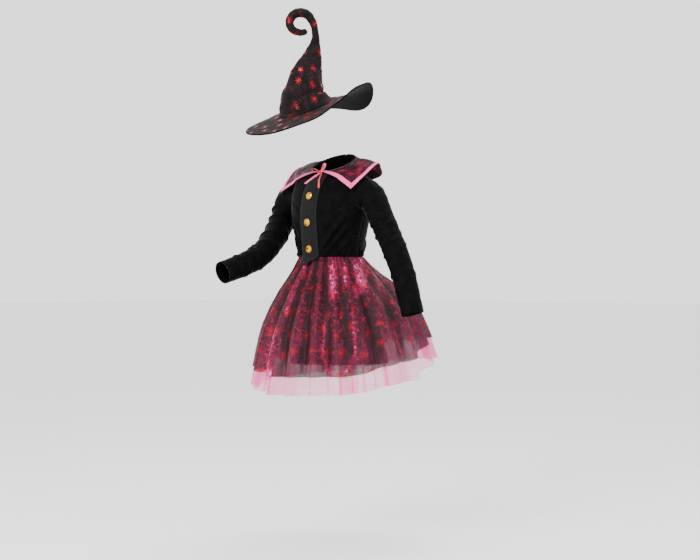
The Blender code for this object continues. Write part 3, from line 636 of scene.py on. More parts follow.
def gilt_metal():
    """Gilding with fine wear, darker as painted shade where the value called rim marks the groove
    and the underside.
    """
    gilt = Finish("gilt button", Metallic=1.0)
    worn = gilt.noise(gilt.place(), 340.0, 5.0, 0.65)
    colour = gilt.blend(gilt.remap(worn, 0.35, 0.72), dye("#f0b035"), dye("#c07c18"))
    # Painted shade: the gilding darkens towards brown in the groove and under the edge.
    gilt.set(Base_Color=gilt.blend(gilt.value("rim") * 0.75, colour, dye("#6b4312")),
             Roughness=gilt.remap(worn, 0.3, 0.8, 0.24, 0.42))
    gilt.bump(worn, 0.0001, 0.35)
    return gilt.material


def foil_mesh(name, ground, glow, low_alpha, spider_cell, spider_reach, seed):
    """Black net printed with a web of pink foil and with spiders. The ground is see-through,
    the foil isn't. The value called shine is painted highlight: where the foil is made to
    catch the light. Painted shade darkens the hollow between two flutes, and that value and
    the one called dense, where gathers crowd the net, make the net less see-through."""
    mesh = Finish(name, Specular_IOR_Level=0.22)
    flat = mesh.flat()
    trough_shade = mesh.value("trough_shade")
    spots = mesh.noise(flat, 55.0, 4.0, 0.65)
    web = mesh.most(mesh.crackle(flat, 0.0050, 0.26), mesh.crackle(flat, 0.0120, 0.16))
    # Painted highlight: the shine value plus random patches of noise, dimmed by the painted shade
    # of the flute hollows.
    painted_highlight = mesh.calc("ADD", mesh.value("shine") * 1.15, mesh.remap(spots, 0.50, 0.74, 0.0, 0.50),
                      clamp=True)
    painted_highlight = painted_highlight * (1.0 - trough_shade * 0.85)
    lit = mesh.calc("MULTIPLY", web, painted_highlight + 0.05, clamp=True)
    spider = mesh.spiders(flat, spider_cell, spider_reach, seed) * 0.92
    streak = mesh.remap(mesh.noise(mesh.vector("MULTIPLY", flat, (1.0, 0.18, 1.0)), 150.0, 3.0,
                                   0.6), 0.35, 0.70)
    base = mesh.blend(streak * 0.8, dye(ground), dye(glow))
    # Painted light in the colour: painted shade darkens the flute hollows nearly to black; painted
    # highlight lifts the ground to deep pink, turns the foil pale pink at its strongest, and
    # brightens the spiders' red.
    base = mesh.blend(trough_shade * 0.85, base, dye("#040001"))
    base = mesh.blend(painted_highlight * 0.24, base, dye("#7a0c38"))
    highlight_peak = mesh.remap(painted_highlight * spots, 0.42, 0.66)
    foil = mesh.blend(highlight_peak, dye("#b80c52"), dye("#ff7cbc"))
    colour = mesh.blend(lit, base, foil)
    red = mesh.blend(painted_highlight, dye("#780010"), dye("#d80028"))
    solid = mesh.most(lit, spider)
    dense = mesh.value("dense") * 0.22 + trough_shade * 0.22
    veil = streak * 0.12 + (painted_highlight * 0.25 + dense + low_alpha)
    mesh.set(Base_Color=mesh.blend(spider, colour, red),
             Roughness=mesh.remap(lit, 0.0, 1.0, 0.62, 0.26),
             Metallic=solid * 0.45, Alpha=mesh.most(solid, veil, clamp=True))
    mesh.bump(web + spots * 2.0, 0.0008, 0.7)
    return mesh.material


def pink_picot():
    """Knitted edging: slanting stitches across the band and a hollow line along each side."""
    band = Finish("pink picot", Roughness=0.6, Sheen_Weight=0.25, Specular_IOR_Level=0.35)
    u, v = band.split(band.flat())
    stitch = band.sine((u + band.calc("ABSOLUTE", v - 0.5) * 0.004) * 2500.0)
    tone = band.noise(band.place(), 160.0, 4.0, 0.6)
    share = band.calc("ADD", band.remap(stitch, -1.0, 1.0, 0.0, 0.6),
                      band.remap(tone, 0.35, 0.65, 0.0, 0.4), clamp=True)
    band.set(Base_Color=band.blend(share, dye("#ea2c80"), dye("#ff62ae")))
    band.bump(stitch, 0.0003, 0.8)
    return band.material


def satin_ribbon(name, deep, light):
    """Satin: fine ribs across the ribbon, with painted sheen: lighter in patches of a noise."""
    satin = Finish(name, Roughness=0.34, Sheen_Weight=0.15, Anisotropic=0.5,
                   Specular_IOR_Level=0.6)
    ribs = satin.sine(satin.split(satin.flat())[0] * 7000.0)
    # Painted sheen: random patches of the ribbon are lightened.
    patches = satin.remap(satin.noise(satin.place(), 120.0, 3.0, 0.5), 0.35, 0.68)
    satin.set(Base_Color=satin.blend(patches, dye(deep), dye(light)))
    satin.bump(ribs, 0.00008, 0.5)
    return satin.material


def pink_tulle():
    """Stiff net: even fine threads whose veil is denser along the pressed folds."""
    net = Finish("pink tulle", Roughness=0.55, Sheen_Weight=0.3, Specular_IOR_Level=0.4)
    flat = net.flat()
    fold = net.value("fold")
    cloud = net.noise(flat, 26.0, 4.0, 0.6)
    threads = net.remap(net.edges(flat, 900.0), 0.04, 0.16, 1.0, 0.0)
    tone = net.calc("ADD", net.remap(cloud, 0.3, 0.7, 0.0, 0.6), fold * 0.6, clamp=True)
    veil = net.calc("ADD", threads * 0.16, fold * 0.42 + net.remap(cloud, 0.3, 0.7, 0.34, 0.46),
                    clamp=True)
    net.set(Base_Color=net.blend(tone, dye("#f45fb0"), dye("#dc0a70")), Alpha=veil)
    net.bump(threads, 0.0002, 0.4)
    return net.material


def black_lining():
    """Smooth lining with a faint long weave."""
    satin = Finish("black lining", Roughness=0.46, Specular_IOR_Level=0.25, Sheen_Weight=0.05)
    weave = satin.noise(satin.vector("MULTIPLY", satin.flat(), (1.0, 0.12, 1.0)), 1100.0)
    tone = satin.remap(satin.noise(satin.place(), 22.0, 3.0, 0.5), 0.3, 0.7)
    satin.set(Base_Color=satin.blend(tone, dye("#08080a"), dye("#141216")))
    satin.bump(weave, 0.0002, 0.4)
    return satin.material


def printed_felt(name, cell, reach, seed):
    """Black felted cloth printed with red foil: spiders and a faint broken web."""
    felt = Finish(name, Specular_IOR_Level=0.14)
    flat, where = felt.flat(), felt.place()
    nap = felt.noise(where, 800.0, 3.0, 0.7)
    cloud = felt.noise(where, 30.0, 4.0, 0.6)
    ground = felt.blend(felt.remap(cloud, 0.35, 0.7), dye("#040303"), dye("#110c0d"))
    web = felt.crackle(flat, 0.0060, 0.13) * felt.remap(cloud, 0.45, 0.70, 0.0, 0.5)
    worn = felt.remap(felt.noise(where, 420.0, 3.0, 0.7), 0.28, 0.44)
    spider = felt.spiders(flat, cell, reach, seed) * worn
    shade = felt.blend(felt.remap(cloud, 0.35, 0.65), dye("#5c000c"), dye("#b0021c"))
    colour = felt.blend(web, ground, dye("#7a0c2c"))
    felt.set(Base_Color=felt.blend(spider, colour, shade),
             Roughness=felt.remap(felt.most(spider, web), 0.0, 1.0, 0.82, 0.34),
             Metallic=spider * 0.35)
    felt.bump(nap + cloud * 2.0, 0.0003, 0.6)
    return felt.material


def plain_felt():
    """The same felt without print, for undersides and the binding."""
    felt = Finish("plain felt", Roughness=0.90, Sheen_Weight=0.02, Specular_IOR_Level=0.05)
    where = felt.place()
    cloud = felt.noise(where, 34.0, 4.0, 0.6)
    felt.set(Base_Color=felt.blend(felt.remap(cloud, 0.35, 0.7), dye("#010101"), dye("#070707")))
    felt.bump(felt.noise(where, 700.0, 3.0, 0.7) + cloud, 0.0003, 0.6)
    return felt.material


VELVET = black_velvet()
SUITING = charcoal_suiting()
GILT = gilt_metal()
COLLAR_MESH = foil_mesh("foil mesh collar", "#070304", "#230811", 0.86, 0.044, 0.0110, 0.31)
SKIRT_MESH = foil_mesh("foil mesh skirt", "#0a0103", "#30030f", 0.70, 0.058, 0.0140, 0.13)
PICOT = pink_picot()
RED_SATIN = satin_ribbon("red satin ribbon", "#a00010", "#e80420")
PINK_SATIN = satin_ribbon("pink satin ribbon", "#dc1458", "#ff6ea8")
TULLE = pink_tulle()
LINING = black_lining()
CROWN_FELT = printed_felt("foil print crown", 0.043, 0.0112, 0.21)
BRIM_FELT = printed_felt("foil print brim", 0.050, 0.0125, 0.47)
UNDER_FELT = plain_felt()


# Bodice

def armhole_edge(height):
    """How far round the front reaches: a quarter turn, less the armhole's half ellipse."""
    off = np.clip((height - ARMHOLE_Z) / ARMHOLE_HALF, -1.0, 1.0)
    return np.pi / 2 - ARMHOLE_OPEN * np.sqrt(1.0 - off**2)


def bodice_surface(turn, height):
    """The bodice pressed along its normals by its folds and side seams, which fade out under
    the front panel, at the neck and round the armholes."""
    points = body(turn, height)
    table = [(np.radians(a) * BODICE_GIRTH, b, np.radians(c) * BODICE_GIRTH, d, w, k)
             for a, b, c, d, w, k in BODICE_FOLDS]
    turned = np.where(turn > np.radians(270.1), turn - 2 * np.pi, turn)
    depth = soft_folds(turned * BODICE_GIRTH, height, table)
    from_front = np.abs(np.mod(turned + np.pi, 2 * np.pi) - np.pi)
    side = np.abs(from_front - np.pi / 2)
    around = np.hypot(side / ARMHOLE_OPEN, (height - ARMHOLE_Z) / ARMHOLE_HALF)
    depth *= smooth_step(np.radians(15), np.radians(24), from_front)
    depth *= smooth_step(1.0, 1.3, around) * smooth_step(NECK_Z, NECK_Z - 0.03, height)
    seam = np.exp(-((side * BODICE_GIRTH / 0.0016) ** 2)) * smooth_step(1.0, 1.2, around)
    grain = 0.0005 * np.sin(turned * 31 + 6 * np.sin(height * 40)) \
        * np.sin(height * 95 + turned * 5)
    depth = np.maximum(depth * BODICE_FOLD_SCALE, BODICE_FOLD_FLOOR)
    return press(points, depth - 0.0004 * seam + grain * np.minimum(around / 2, 1))


def make_bodice():
    low, high = ARMHOLE_Z - ARMHOLE_HALF, ARMHOLE_Z + ARMHOLE_HALF
    heights = np.concatenate([
        np.linspace(WAIST_Z, low, 64)[:-1],
        ARMHOLE_Z + ARMHOLE_HALF * np.sin(np.linspace(-np.pi / 2, np.pi / 2, 40)),
        np.linspace(high, NECK_Z, 20)[1:]])[:, None]
    shares = np.linspace(0.0, 1.0, 81)[None, :]
    for side, sign in (("left", 1), ("right", -1)):
        turn = sign * shares * armhole_edge(heights)
        turn = turn if sign > 0 else turn[:, ::-1]
        piece = cloth(f"bodice_front_{side}_velvet", bodice_surface(turn, heights), VELVET,
                      VELVET_WALL)
        place_in_part(piece, [f"bodice_front_{side}"])
    edge = np.pi - armhole_edge(heights)
    turn = edge + (2 * np.pi - 2 * edge) * np.linspace(0.0, 1.0, 161)[None, :]
    piece = cloth("bodice_back_velvet", bodice_surface(turn, heights), VELVET, VELVET_WALL)
    place_in_part(piece, ["bodice_back"])


def panel_surface(across, height):
    """The front panel on the bodice: across runs from -1 to 1 over a width that eases from
    foot to top, leaning over, and stands off more below the waist."""
    drop = np.maximum(0.0, WAIST_Z - height)
    stand = np.clip((WAIST_Z + PANEL_WAIST_EASE - height) / PANEL_WAIST_EASE, 0.0, 1.0)
    share = (height - WAIST_Z) / (PANEL_TOP_Z - WAIST_Z)
    half = PANEL_FOOT_HALF + (PANEL_TOP_HALF - PANEL_FOOT_HALF) * share
    half_width = np.interp(height, BODICE_RINGS[:, 0], BODICE_RINGS[:, 2]) + PANEL_OUT
    lean = PANEL_LEAN * (2 * np.maximum(share, 0.0) - 1)
    turn = np.arcsin((across * half + lean) / half_width)
    return body(turn, height, PANEL_OUT + PANEL_WAIST_STAND * stand + drop)


def make_panel():
    across = np.linspace(-1.0, 1.0, 61)[None, :]
    foot = np.linspace(1.0, 0.0, 16)[:-1, None]
    heights = np.concatenate([
        WAIST_Z - 0.0003 - PANEL_POINT_DROP * foot * (1 - 0.985 * np.abs(across)),
        np.linspace(WAIST_Z, PANEL_TOP_Z, 110)[:, None] + 0 * across])
    points = panel_surface(across + 0 * heights, heights)
    wide = PANEL_FOOT_HALF + 0 * heights
    from_side = (1 - np.abs(across)) * wide
    from_foot = (heights - (WAIST_Z - PANEL_POINT_DROP * (1 - np.abs(across)))) * 0.83
    edge = np.minimum(from_side, from_foot)
    folds = ((0.0, -0.262, 0.4, -0.205, 0.10, 0.0010), (-0.7, -0.200, -0.1, -0.150, 0.12, 0.0008),
             (0.2, -0.150, 0.8, -0.110, 0.12, 0.0008), (-0.8, -0.090, -0.2, -0.050, 0.14, 0.0008))
    soft = soft_folds(across + 0 * heights, heights * 8, [
        (a, b * 8, c, d * 8, w, k) for a, b, c, d, w, k in folds])
    rolled = -0.0009 * np.exp(-((edge / 0.0009) ** 2))
    points = press(points, soft + rolled)
    piece = cloth("front_panel_cloth", points, SUITING, PANEL_WALL, values={"edge": edge})
    place_in_part(piece, ["front_panel"])


def make_buttons():
    """Each button is its profile turned about the panel's normal: a dome in a rolled rim."""
    shares, heights = np.array(BUTTON_PROFILE).T
    turns = np.linspace(0.0, 2 * np.pi, 41)
    for name, height in BUTTON_HEIGHTS.items():
        middle = panel_surface(0.0, height)
        along = unit(panel_surface(0.0, height + 0.008) - panel_surface(0.0, height - 0.008))
        side = np.array([1.0, 0.0, 0.0])
        out = np.cross(side, along)
        reach = np.maximum(shares, 0.004)[::-1, None, None] * BUTTON_RADIUS
        points = middle + out * heights[::-1, None, None] + reach * (
            side * np.cos(turns)[None, :, None] + along * np.sin(turns)[None, :, None])
        # Painted shade: the groove between dome and rim, and the edge and underside below it, are
        # marked for darkening.
        ring = np.exp(-(((shares[::-1] - 0.80) / 0.05) ** 2)) + (heights[::-1] < 0.0018)
        rim = np.clip(ring, 0.0, 1.0)[:, None] + 0 * turns[None, :]
        piece = cloth(f"button_{name}_gilt", points, GILT, closed=True, values={"rim": rim})
        place_in_part(piece, [f"button_{name}"])


# Sleeves

def sleeve_frames(side, shares):
    """Centre, first and second cross directions at each share, carried along the centre line
    without a twist. The start faces squarely out of the armhole."""
    line = SLEEVE_LINES[side]
    sign = 1.0 if side == "left" else -1.0
    centres = catmull(line, shares)
    ahead = unit(catmull(line, np.minimum(shares + 0.01, 1))
                 - catmull(line, np.maximum(shares - 0.01, 0)))
    turn_in = np.clip(shares / 0.2, 0.0, 1.0)[:, None]
    ahead = unit(ahead * turn_in + np.array([sign, 0.0, 0.0]) * (1 - turn_in))
    first = np.zeros_like(ahead)
    carried = np.array([0.0, 1.0, 0.0])
    for row, way in enumerate(ahead):
        carried = unit(carried - way * (carried @ way))
        first[row] = carried
    return centres, ahead, first, np.cross(ahead, first)


def armhole_ring(side, angle):
    """The armhole's edge: height = middle + half sin(angle), turn = quarter + open cos(angle),
    moved off the bodice by the stand-off and mirrored for the right."""
    sign = 1.0 if side == "left" else -1.0
    angle = angle if sign > 0 else -angle
    point = body(np.pi / 2 + ARMHOLE_OPEN * np.cos(angle), ARMHOLE_Z + ARMHOLE_HALF * np.sin(angle))
    return (point + np.array([SLEEVE_STAND_OFF, 0, 0])) * np.array([sign, 1.0, 1.0])


def make_sleeve(side):
    """A tube about the centre line from the armhole's ring to the cuff. Row by row the ring
    turns into circles within the first share of the way, then the folds press the tube."""
    shares = np.concatenate([np.linspace(0.0, 0.10, 16)[:-1], np.linspace(0.10, 1.0, 130)])
    angle = np.linspace(0.0, 2 * np.pi, 97)
    centres, _, first, second = sleeve_frames(side, shares)
    radius = np.interp(shares, SLEEVE_SHARES, SLEEVE_RADII)[:, None, None]
    circles = centres[:, None] + radius * (
        first[:, None] * np.cos(angle)[None, :, None]
        + second[:, None] * np.sin(angle)[None, :, None])
    seam = armhole_ring(side, angle)[None]
    take = smooth_step(0.0, 0.075, shares)[:, None, None]
    points = seam * (1 - take) + circles * take
    shift = (circles[:1] - seam) * (1 - take)
    points = np.where(take < 1, circles - shift * (1 - take * 0.4), points)
    degrees = np.degrees(angle)[None, :]
    along = shares[:, None] * SLEEVE_LENGTH
    table = [(np.radians(a) * SLEEVE_GIRTH, b * SLEEVE_LENGTH,
              np.radians(c) * SLEEVE_GIRTH, d * SLEEVE_LENGTH, w, k)
             for a, b, c, d, w, k in SLEEVE_FOLDS[side]]
    depth = sum(soft_folds(np.radians(degrees + turn) * SLEEVE_GIRTH, along, table)
                for turn in (0.0, 360.0))
    fine = 0.0006 * np.sin(shares[:, None] * 95 + 2.2 * np.sin(np.radians(degrees) * 2 + 1.0)) \
        * np.sin(np.radians(degrees) * 3 + shares[:, None] * 9)
    hem = -0.0009 * np.exp(-(((1 - shares[:, None]) * SLEEVE_LENGTH - 0.0130) / 0.0012) ** 2)
    fade = smooth_step(0.0, 0.06, shares)[:, None] \
        * (1 - 0.75 * smooth_step(0.95, 1.0, shares)[:, None])
    points = press(points, (depth * SLEEVE_FOLD_SCALE + fine) * fade + hem, closed=True)
    piece = cloth(f"sleeve_{side}_velvet", points, VELVET, VELVET_WALL, closed=True)
    place_in_part(piece, [f"sleeve_{side}"])


# Collar, its trim and the bow

def collar_surface(across, out):
    """The left half: from the neckline to the outer edge curve, with a low hump of
    sin(pi out), kept clear of the bodice. The waves press it along its own slope."""
    turn = COLLAR_START + (np.pi - COLLAR_START - np.radians(1.6)) * across
    neck = body(turn, NECK_Z) + UP * 0.0027
    edge = catmull(COLLAR_EDGE, np.interp(across, COLLAR_STEPS,
                                          np.linspace(0, 1, len(COLLAR_EDGE))))
    out = out[..., None]
    points = neck + (edge - neck) * out + UP * COLLAR_HUMP * np.sin(np.pi * out)
    wave = soft_folds(across, out[..., 0], COLLAR_WAVES)
    points = points + UP * wave[..., None]
    return clear_of_body(points, 0.0015 + COLLAR_CLEAR * np.minimum(1.0, out[..., 0] / 0.08))


def make_collar():
    columns = np.linspace(0.0, 1.0, 161)[None, :]
    outs = np.linspace(1.0, 0.0, 61)[:, None]
    across, out = np.broadcast_arrays(columns, outs)
    # Painted highlight: places on the collar where the foil is made to catch the light; elsewhere
    # it is darkened as painted shade.
    shine = soft_folds(across, out, (
        (0.10, 0.28, 0.24, 0.30, 0.06, 1.0), (0.12, 0.60, 0.26, 0.62, 0.07, 1.0),
        (0.30, 0.80, 0.36, 0.60, 0.05, 0.9), (0.40, 0.40, 0.46, 0.60, 0.05, 0.8),
        (0.18, 0.85, 0.30, 0.90, 0.05, 0.6), (0.60, 0.40, 0.66, 0.70, 0.06, 0.9),
        (0.78, 0.50, 0.90, 0.60, 0.07, 0.9), (0.70, 0.80, 0.80, 0.70, 0.05, 0.8)))
    for side, sign in (("left", 1), ("right", -1)):
        points = collar_surface(across, out) * np.array([sign, 1, 1])
        glint = shine
        if sign < 0:
            points, glint = points[:, ::-1], shine[:, ::-1]
        piece = cloth(f"collar_{side}_mesh", points, COLLAR_MESH, COLLAR_WALL,
                      values={"shine": 0.7 * glint, "dense": np.ones_like(glint),
                              "trough_shade": 0.35 * (1 - glint)})
        place_in_part(piece, [f"collar_{side}"])
        trim = make_trim(side, sign)


def make_trim(side, sign):
    """Knitted edging on the collar's front and outer edges, mitred at the front point. Its
    outer side is scalloped by |sin| of the length, a loop every four millimetres."""
    shares = np.linspace(0.0, 1.0, 900)
    on_front = shares < TRIM_FRONT_SHARE
    across = np.where(on_front, 0.0, (shares - TRIM_FRONT_SHARE) / (1 - TRIM_FRONT_SHARE))
    out = np.where(on_front, 0.03 + 0.97 * shares / TRIM_FRONT_SHARE, 1.0)
    width = np.linspace(0.0, 1.0, 9)[:, None]
    inner_across = np.maximum(across, 0.07)
    inner_out = np.minimum(out, 0.91)
    grid_across = across + (inner_across - across) * width
    grid_out = out + (inner_out - out) * width
    points = collar_surface(grid_across, grid_out)
    length = np.concatenate([[0], np.cumsum(np.linalg.norm(np.diff(points[0], axis=0), axis=-1))])
    wide = unit(points[0] - points[-1])
    scallop = 0.0011 * np.abs(np.sin(np.pi * length / 0.0040))[None, :, None] \
        * (1 - width)[..., None] ** 3
    points = points + wide[None] * scallop
    ridge = 0.0011 + 0.0007 * np.sin(np.pi * width) + 0 * across
    points = press(points, ridge + 0.0006)
    points = points * np.array([sign, 1, 1])
    flat = (length[None, :] + 0 * width, width + 0 * length[None, :])
    if sign < 0:
        points = points[:, ::-1]
        flat = (flat[0][:, ::-1], flat[1])
    piece = cloth(f"trim_{side}_picot", points, PICOT, TRIM_WALL, flat=flat)
    return place_in_part(piece, [f"trim_{side}"])


def ribbon(name, path, width_way, finish, node):
    """A satin strip: a path carried along its width, cupped a little across."""
    half = unit(np.asarray(width_way, float)) * RIBBON_WIDTH / 2
    across = np.linspace(-1.0, 1.0, 9)[:, None, None]
    points = path[None] + half * across
    points = press(points, -0.0005 * across[..., 0] ** 2 + 0 * points[..., 0])
    piece = cloth(name, points, finish, 0.0007)
    return place_in_part(piece, [node])


def make_bow():
    turns = np.linspace(0.0, 2 * np.pi, 33)[None, :]
    rise = np.linspace(-np.pi / 2 + 0.03, np.pi / 2 - 0.03, 21)[:, None]
    pinch = 1.0 + 0.07 * np.cos(5 * turns + 3 * rise)
    knot = BOW_PLACE + KNOT_SIZE / 2 * np.stack(np.broadcast_arrays(
        np.cos(rise) * np.cos(turns) * pinch, np.cos(rise) * np.sin(turns) * pinch,
        np.sin(rise)), axis=-1)
    piece = cloth("bow_knot_satin", knot, RED_SATIN, closed=True)
    place_in_part(piece, ["bow_knot"])
    t = np.linspace(0.0, 1.0, 60)
    swell = np.sin(np.pi * t) ** 0.8
    for side, sign, reach, drop, finish in (("left", 1, 0.016, 0.020, PINK_SATIN),
                                            ("right", -1, 0.022, 0.006, RED_SATIN)):
        path = np.stack([reach * swell, -0.0030 * swell, drop * swell + 0.0042 * np.sin(
            2 * np.pi * t) * swell + 0.0013 * np.cos(np.pi * t)], axis=-1)
        path = path * np.array([sign, 1, 1]) + BOW_PLACE + np.array([sign * 0.0044, 0, 0])
        path = path if sign > 0 else path[::-1]
        ribbon(f"bow_loop_{side}_satin", path, (0, -1, 0), finish, f"bow_loop_{side}")
    for side, sign, end, finish in (("left", 1, (0.012, -0.012, -0.044), RED_SATIN),
                                    ("right", -1, (-0.030, -0.014, -0.030), PINK_SATIN)):
        start = BOW_PLACE + np.array([sign * 0.0031, 0.0, -KNOT_SIZE[2] / 2 + 0.0008])
        path = start + np.array(end) * t[:, None] + UP * (0.0016 * np.sin(2 * np.pi * t))[:, None]
        path = clear_of_body(path, 0.0068)
        ribbon(f"bow_tail_{side}_satin", path, (1, 0, 0.35 * sign), finish, f"bow_tail_{side}")


# Skirt

def waist_reach(way):
    """Distance from the middle to the bodice's waist ellipse in each level direction."""
    return 1.0 / np.hypot(way[..., 0] / WAIST_HALF_WIDTH, way[..., 1] / WAIST_HALF_DEPTH)


def skirt_layer_surface(hem_table, columns, rows, layer):
    """A gathered layer. Its reach at an angle is the waist's, eased out to the hem's by the
    flare, plus flutes of uneven depth and spacing: depth times the cosine of the flutes'
    count times the angle, drifting with the sine of three times it."""
    angle = -np.linspace(0.0, 2 * np.pi, columns)[None, :]
    shares = np.linspace(1.0, 0.0, rows)[:, None]
    degrees = np.degrees(angle)
    top = WAIST_Z - 0.0006
    height = top + (round_table(hem_table, degrees) - top) * shares
    share = (WAIST_Z - height) / (WAIST_Z - round_table(MESH_HEM, degrees))
    flare = np.interp(share, FLARE_DROPS, FLARE_SHARES)
    way = ACROSS * np.cos(angle)[..., None] + NEARER * np.sin(angle)[..., None]
    waist = waist_reach(way)
    depth = FLUTE_DEPTH_AT_WAIST + (FLUTE_DEPTH_AT_HEM - FLUTE_DEPTH_AT_WAIST) * flare
    phase = FLUTES * angle + 0.80 * np.sin(3 * angle + 0.6)
    uneven = 1.0 + 0.25 * np.cos(2 * angle + 1.0) + 0.20 * np.cos(7 * angle)
    inset = layer * (0.0016 + (0.0055 - 0.0016) * np.minimum(1.0, share / 0.25))
    radius = waist + (HEM_RADIUS - waist) * flare + depth * np.cos(phase) * uneven - inset
    # Fine gathers at the waist seam, which open out into the flutes
    gathers = 0.0016 * np.cos(3 * phase + 1.7 * np.cos(2 * angle)) * np.exp(-((share / 0.16) ** 2))
    gathers = gathers + 0.0016 * np.cos(2 * phase + 2.0 * np.sin(4 * angle)) * np.sin(
        np.pi * np.clip(share / 0.8, 0, 1))
    radius = radius + gathers * (1.0 if layer == 0 else 0.6)
    points = way * radius[..., None] + ACROSS * (HEM_SHIFT * flare)[..., None] \
        + UP * height[..., None]
    return points, angle + 0 * height, share, np.cos(phase) * uneven


def flat_skirt(points, width):
    """The gathered strip's own coordinates: width round the hem, and lengths down it."""
    _, v = measured(points)
    u = np.linspace(0.0, width, points.shape[1])[None, :] + 0 * v
    return u, v


def make_skirt_mesh():
    points, angle, share, ridge = skirt_layer_surface(MESH_HEM, 721, 111, 0)
    across = points @ ACROSS
    near = smooth_step(-0.15, 0.15, np.sin(angle))
    height = points[..., 2]
    folds = soft_folds(across, height, MESH_FOLDS_NEAR) * near \
        + soft_folds(across, height, MESH_FOLDS_FAR) * (1 - near)
    folds = np.maximum(folds, -0.0018)
    points = press(points, folds * smooth_step(0.02, 0.15, share), closed=True)
    # Painted highlight: the listed patches, and a little on the crest of every flute.
    shine = soft_folds(across, height, SHINE_NEAR) * near \
        + soft_folds(across, height, SHINE_FAR) * (1 - near)
    shine = np.clip(shine + 0.12 * smooth_step(0.2, 1.0, ridge), 0.0, 1.0)
    # Painted shade: the hollow between two flutes is darkened, less where the highlight is painted.
    trough_shade = smooth_step(0.15, -0.75, ridge) * smooth_step(1.12, 0.75, share)
    trough_shade = trough_shade * (1 - 0.7 * smooth_step(0.2, 0.7, shine))
    piece = cloth("skirt_foil_mesh", points, SKIRT_MESH, closed=True,
                  flat=flat_skirt(points, 1.70),
                  values={"shine": shine, "dense": smooth_step(1.0, 0.15, share),
                          "trough_shade": trough_shade})
    place_in_part(piece, ["skirt_mesh"])


def make_tulle():
    points, angle, share, _ = skirt_layer_surface(TULLE_HEM, 721, 101, 1)
    # The stiff net stands in flat planes between sharp pressed folds
    turn = 17 * angle / (2 * np.pi) + 0.35 * np.sin(4 * angle + 0.8)
    saw = np.abs(np.mod(turn, 1.0) - 0.5) * 2
    stiff = smooth_step(0.62, 1.05, share)
    points = press(points, (saw - 0.5) * 0.007 * stiff, closed=True)
    line = np.exp(-((np.minimum(saw, 1 - saw) / 0.07) ** 2)) * stiff
    band = smooth_step(0.55, 0.60, np.mod(turn * 0.5 + 0.2, 1.0)) * stiff
    fold = np.clip(line * 0.8 + band * 0.45, 0.0, 1.0)
    piece = cloth("skirt_net", points, TULLE, closed=True,
                  flat=flat_skirt(points, 1.80), values={"fold": fold})
    place_in_part(piece, ["skirt_tulle"])


def make_lining():
    angle = -np.linspace(0.0, 2 * np.pi, 241)[None, :]
    share = np.linspace(1.0, 0.0, 61)[:, None]
    way = ACROSS * np.cos(angle)[..., None] + NEARER * np.sin(angle)[..., None]
    waist = waist_reach(way) - 0.0044
    wave = 0.005 * share * np.cos(7 * angle + 0.5) \
        + 0.0016 * share * np.cos(16 * angle + 1.0 + 2 * share)
    radius = waist + (LINING_RADIUS - waist) * share + wave
    height = LINING_TOP_Z + (LINING_HEM_Z - LINING_TOP_Z) * share + 0 * angle
    points = way * radius[..., None] + ACROSS * (LINING_SHIFT * share)[..., None] \
        + UP * height[..., None]
    piece = cloth("skirt_lining_satin", points, LINING, 0.0010, closed=True)
    place_in_part(piece, ["skirt_lining"])


# Hat

def hat_place(across, height):
    """A point of the hat from its place in the photographed view: the hat hangs nearer than
    the dress, so it is drawn in towards the aim of the view by the matching share."""
    across = VIEW_AIM[0] + (across - VIEW_AIM[0]) * HAT_SHRINK
    height = VIEW_AIM[1] + (height - VIEW_AIM[1]) * HAT_SHRINK
    return ACROSS * np.asarray(across)[..., None] + NEARER * HAT_NEARER \
        + UP * np.asarray(height)[..., None]


def brim_axes():
    """The brim plane's right, near and up directions."""
    right = ACROSS * np.cos(BRIM_SLOPE) + UP * np.sin(BRIM_SLOPE)
    square = UP * np.cos(BRIM_SLOPE) - ACROSS * np.sin(BRIM_SLOPE)
    near = NEARER * np.cos(BRIM_TIP) - square * np.sin(BRIM_TIP)
    return right, near, np.cross(near, right)


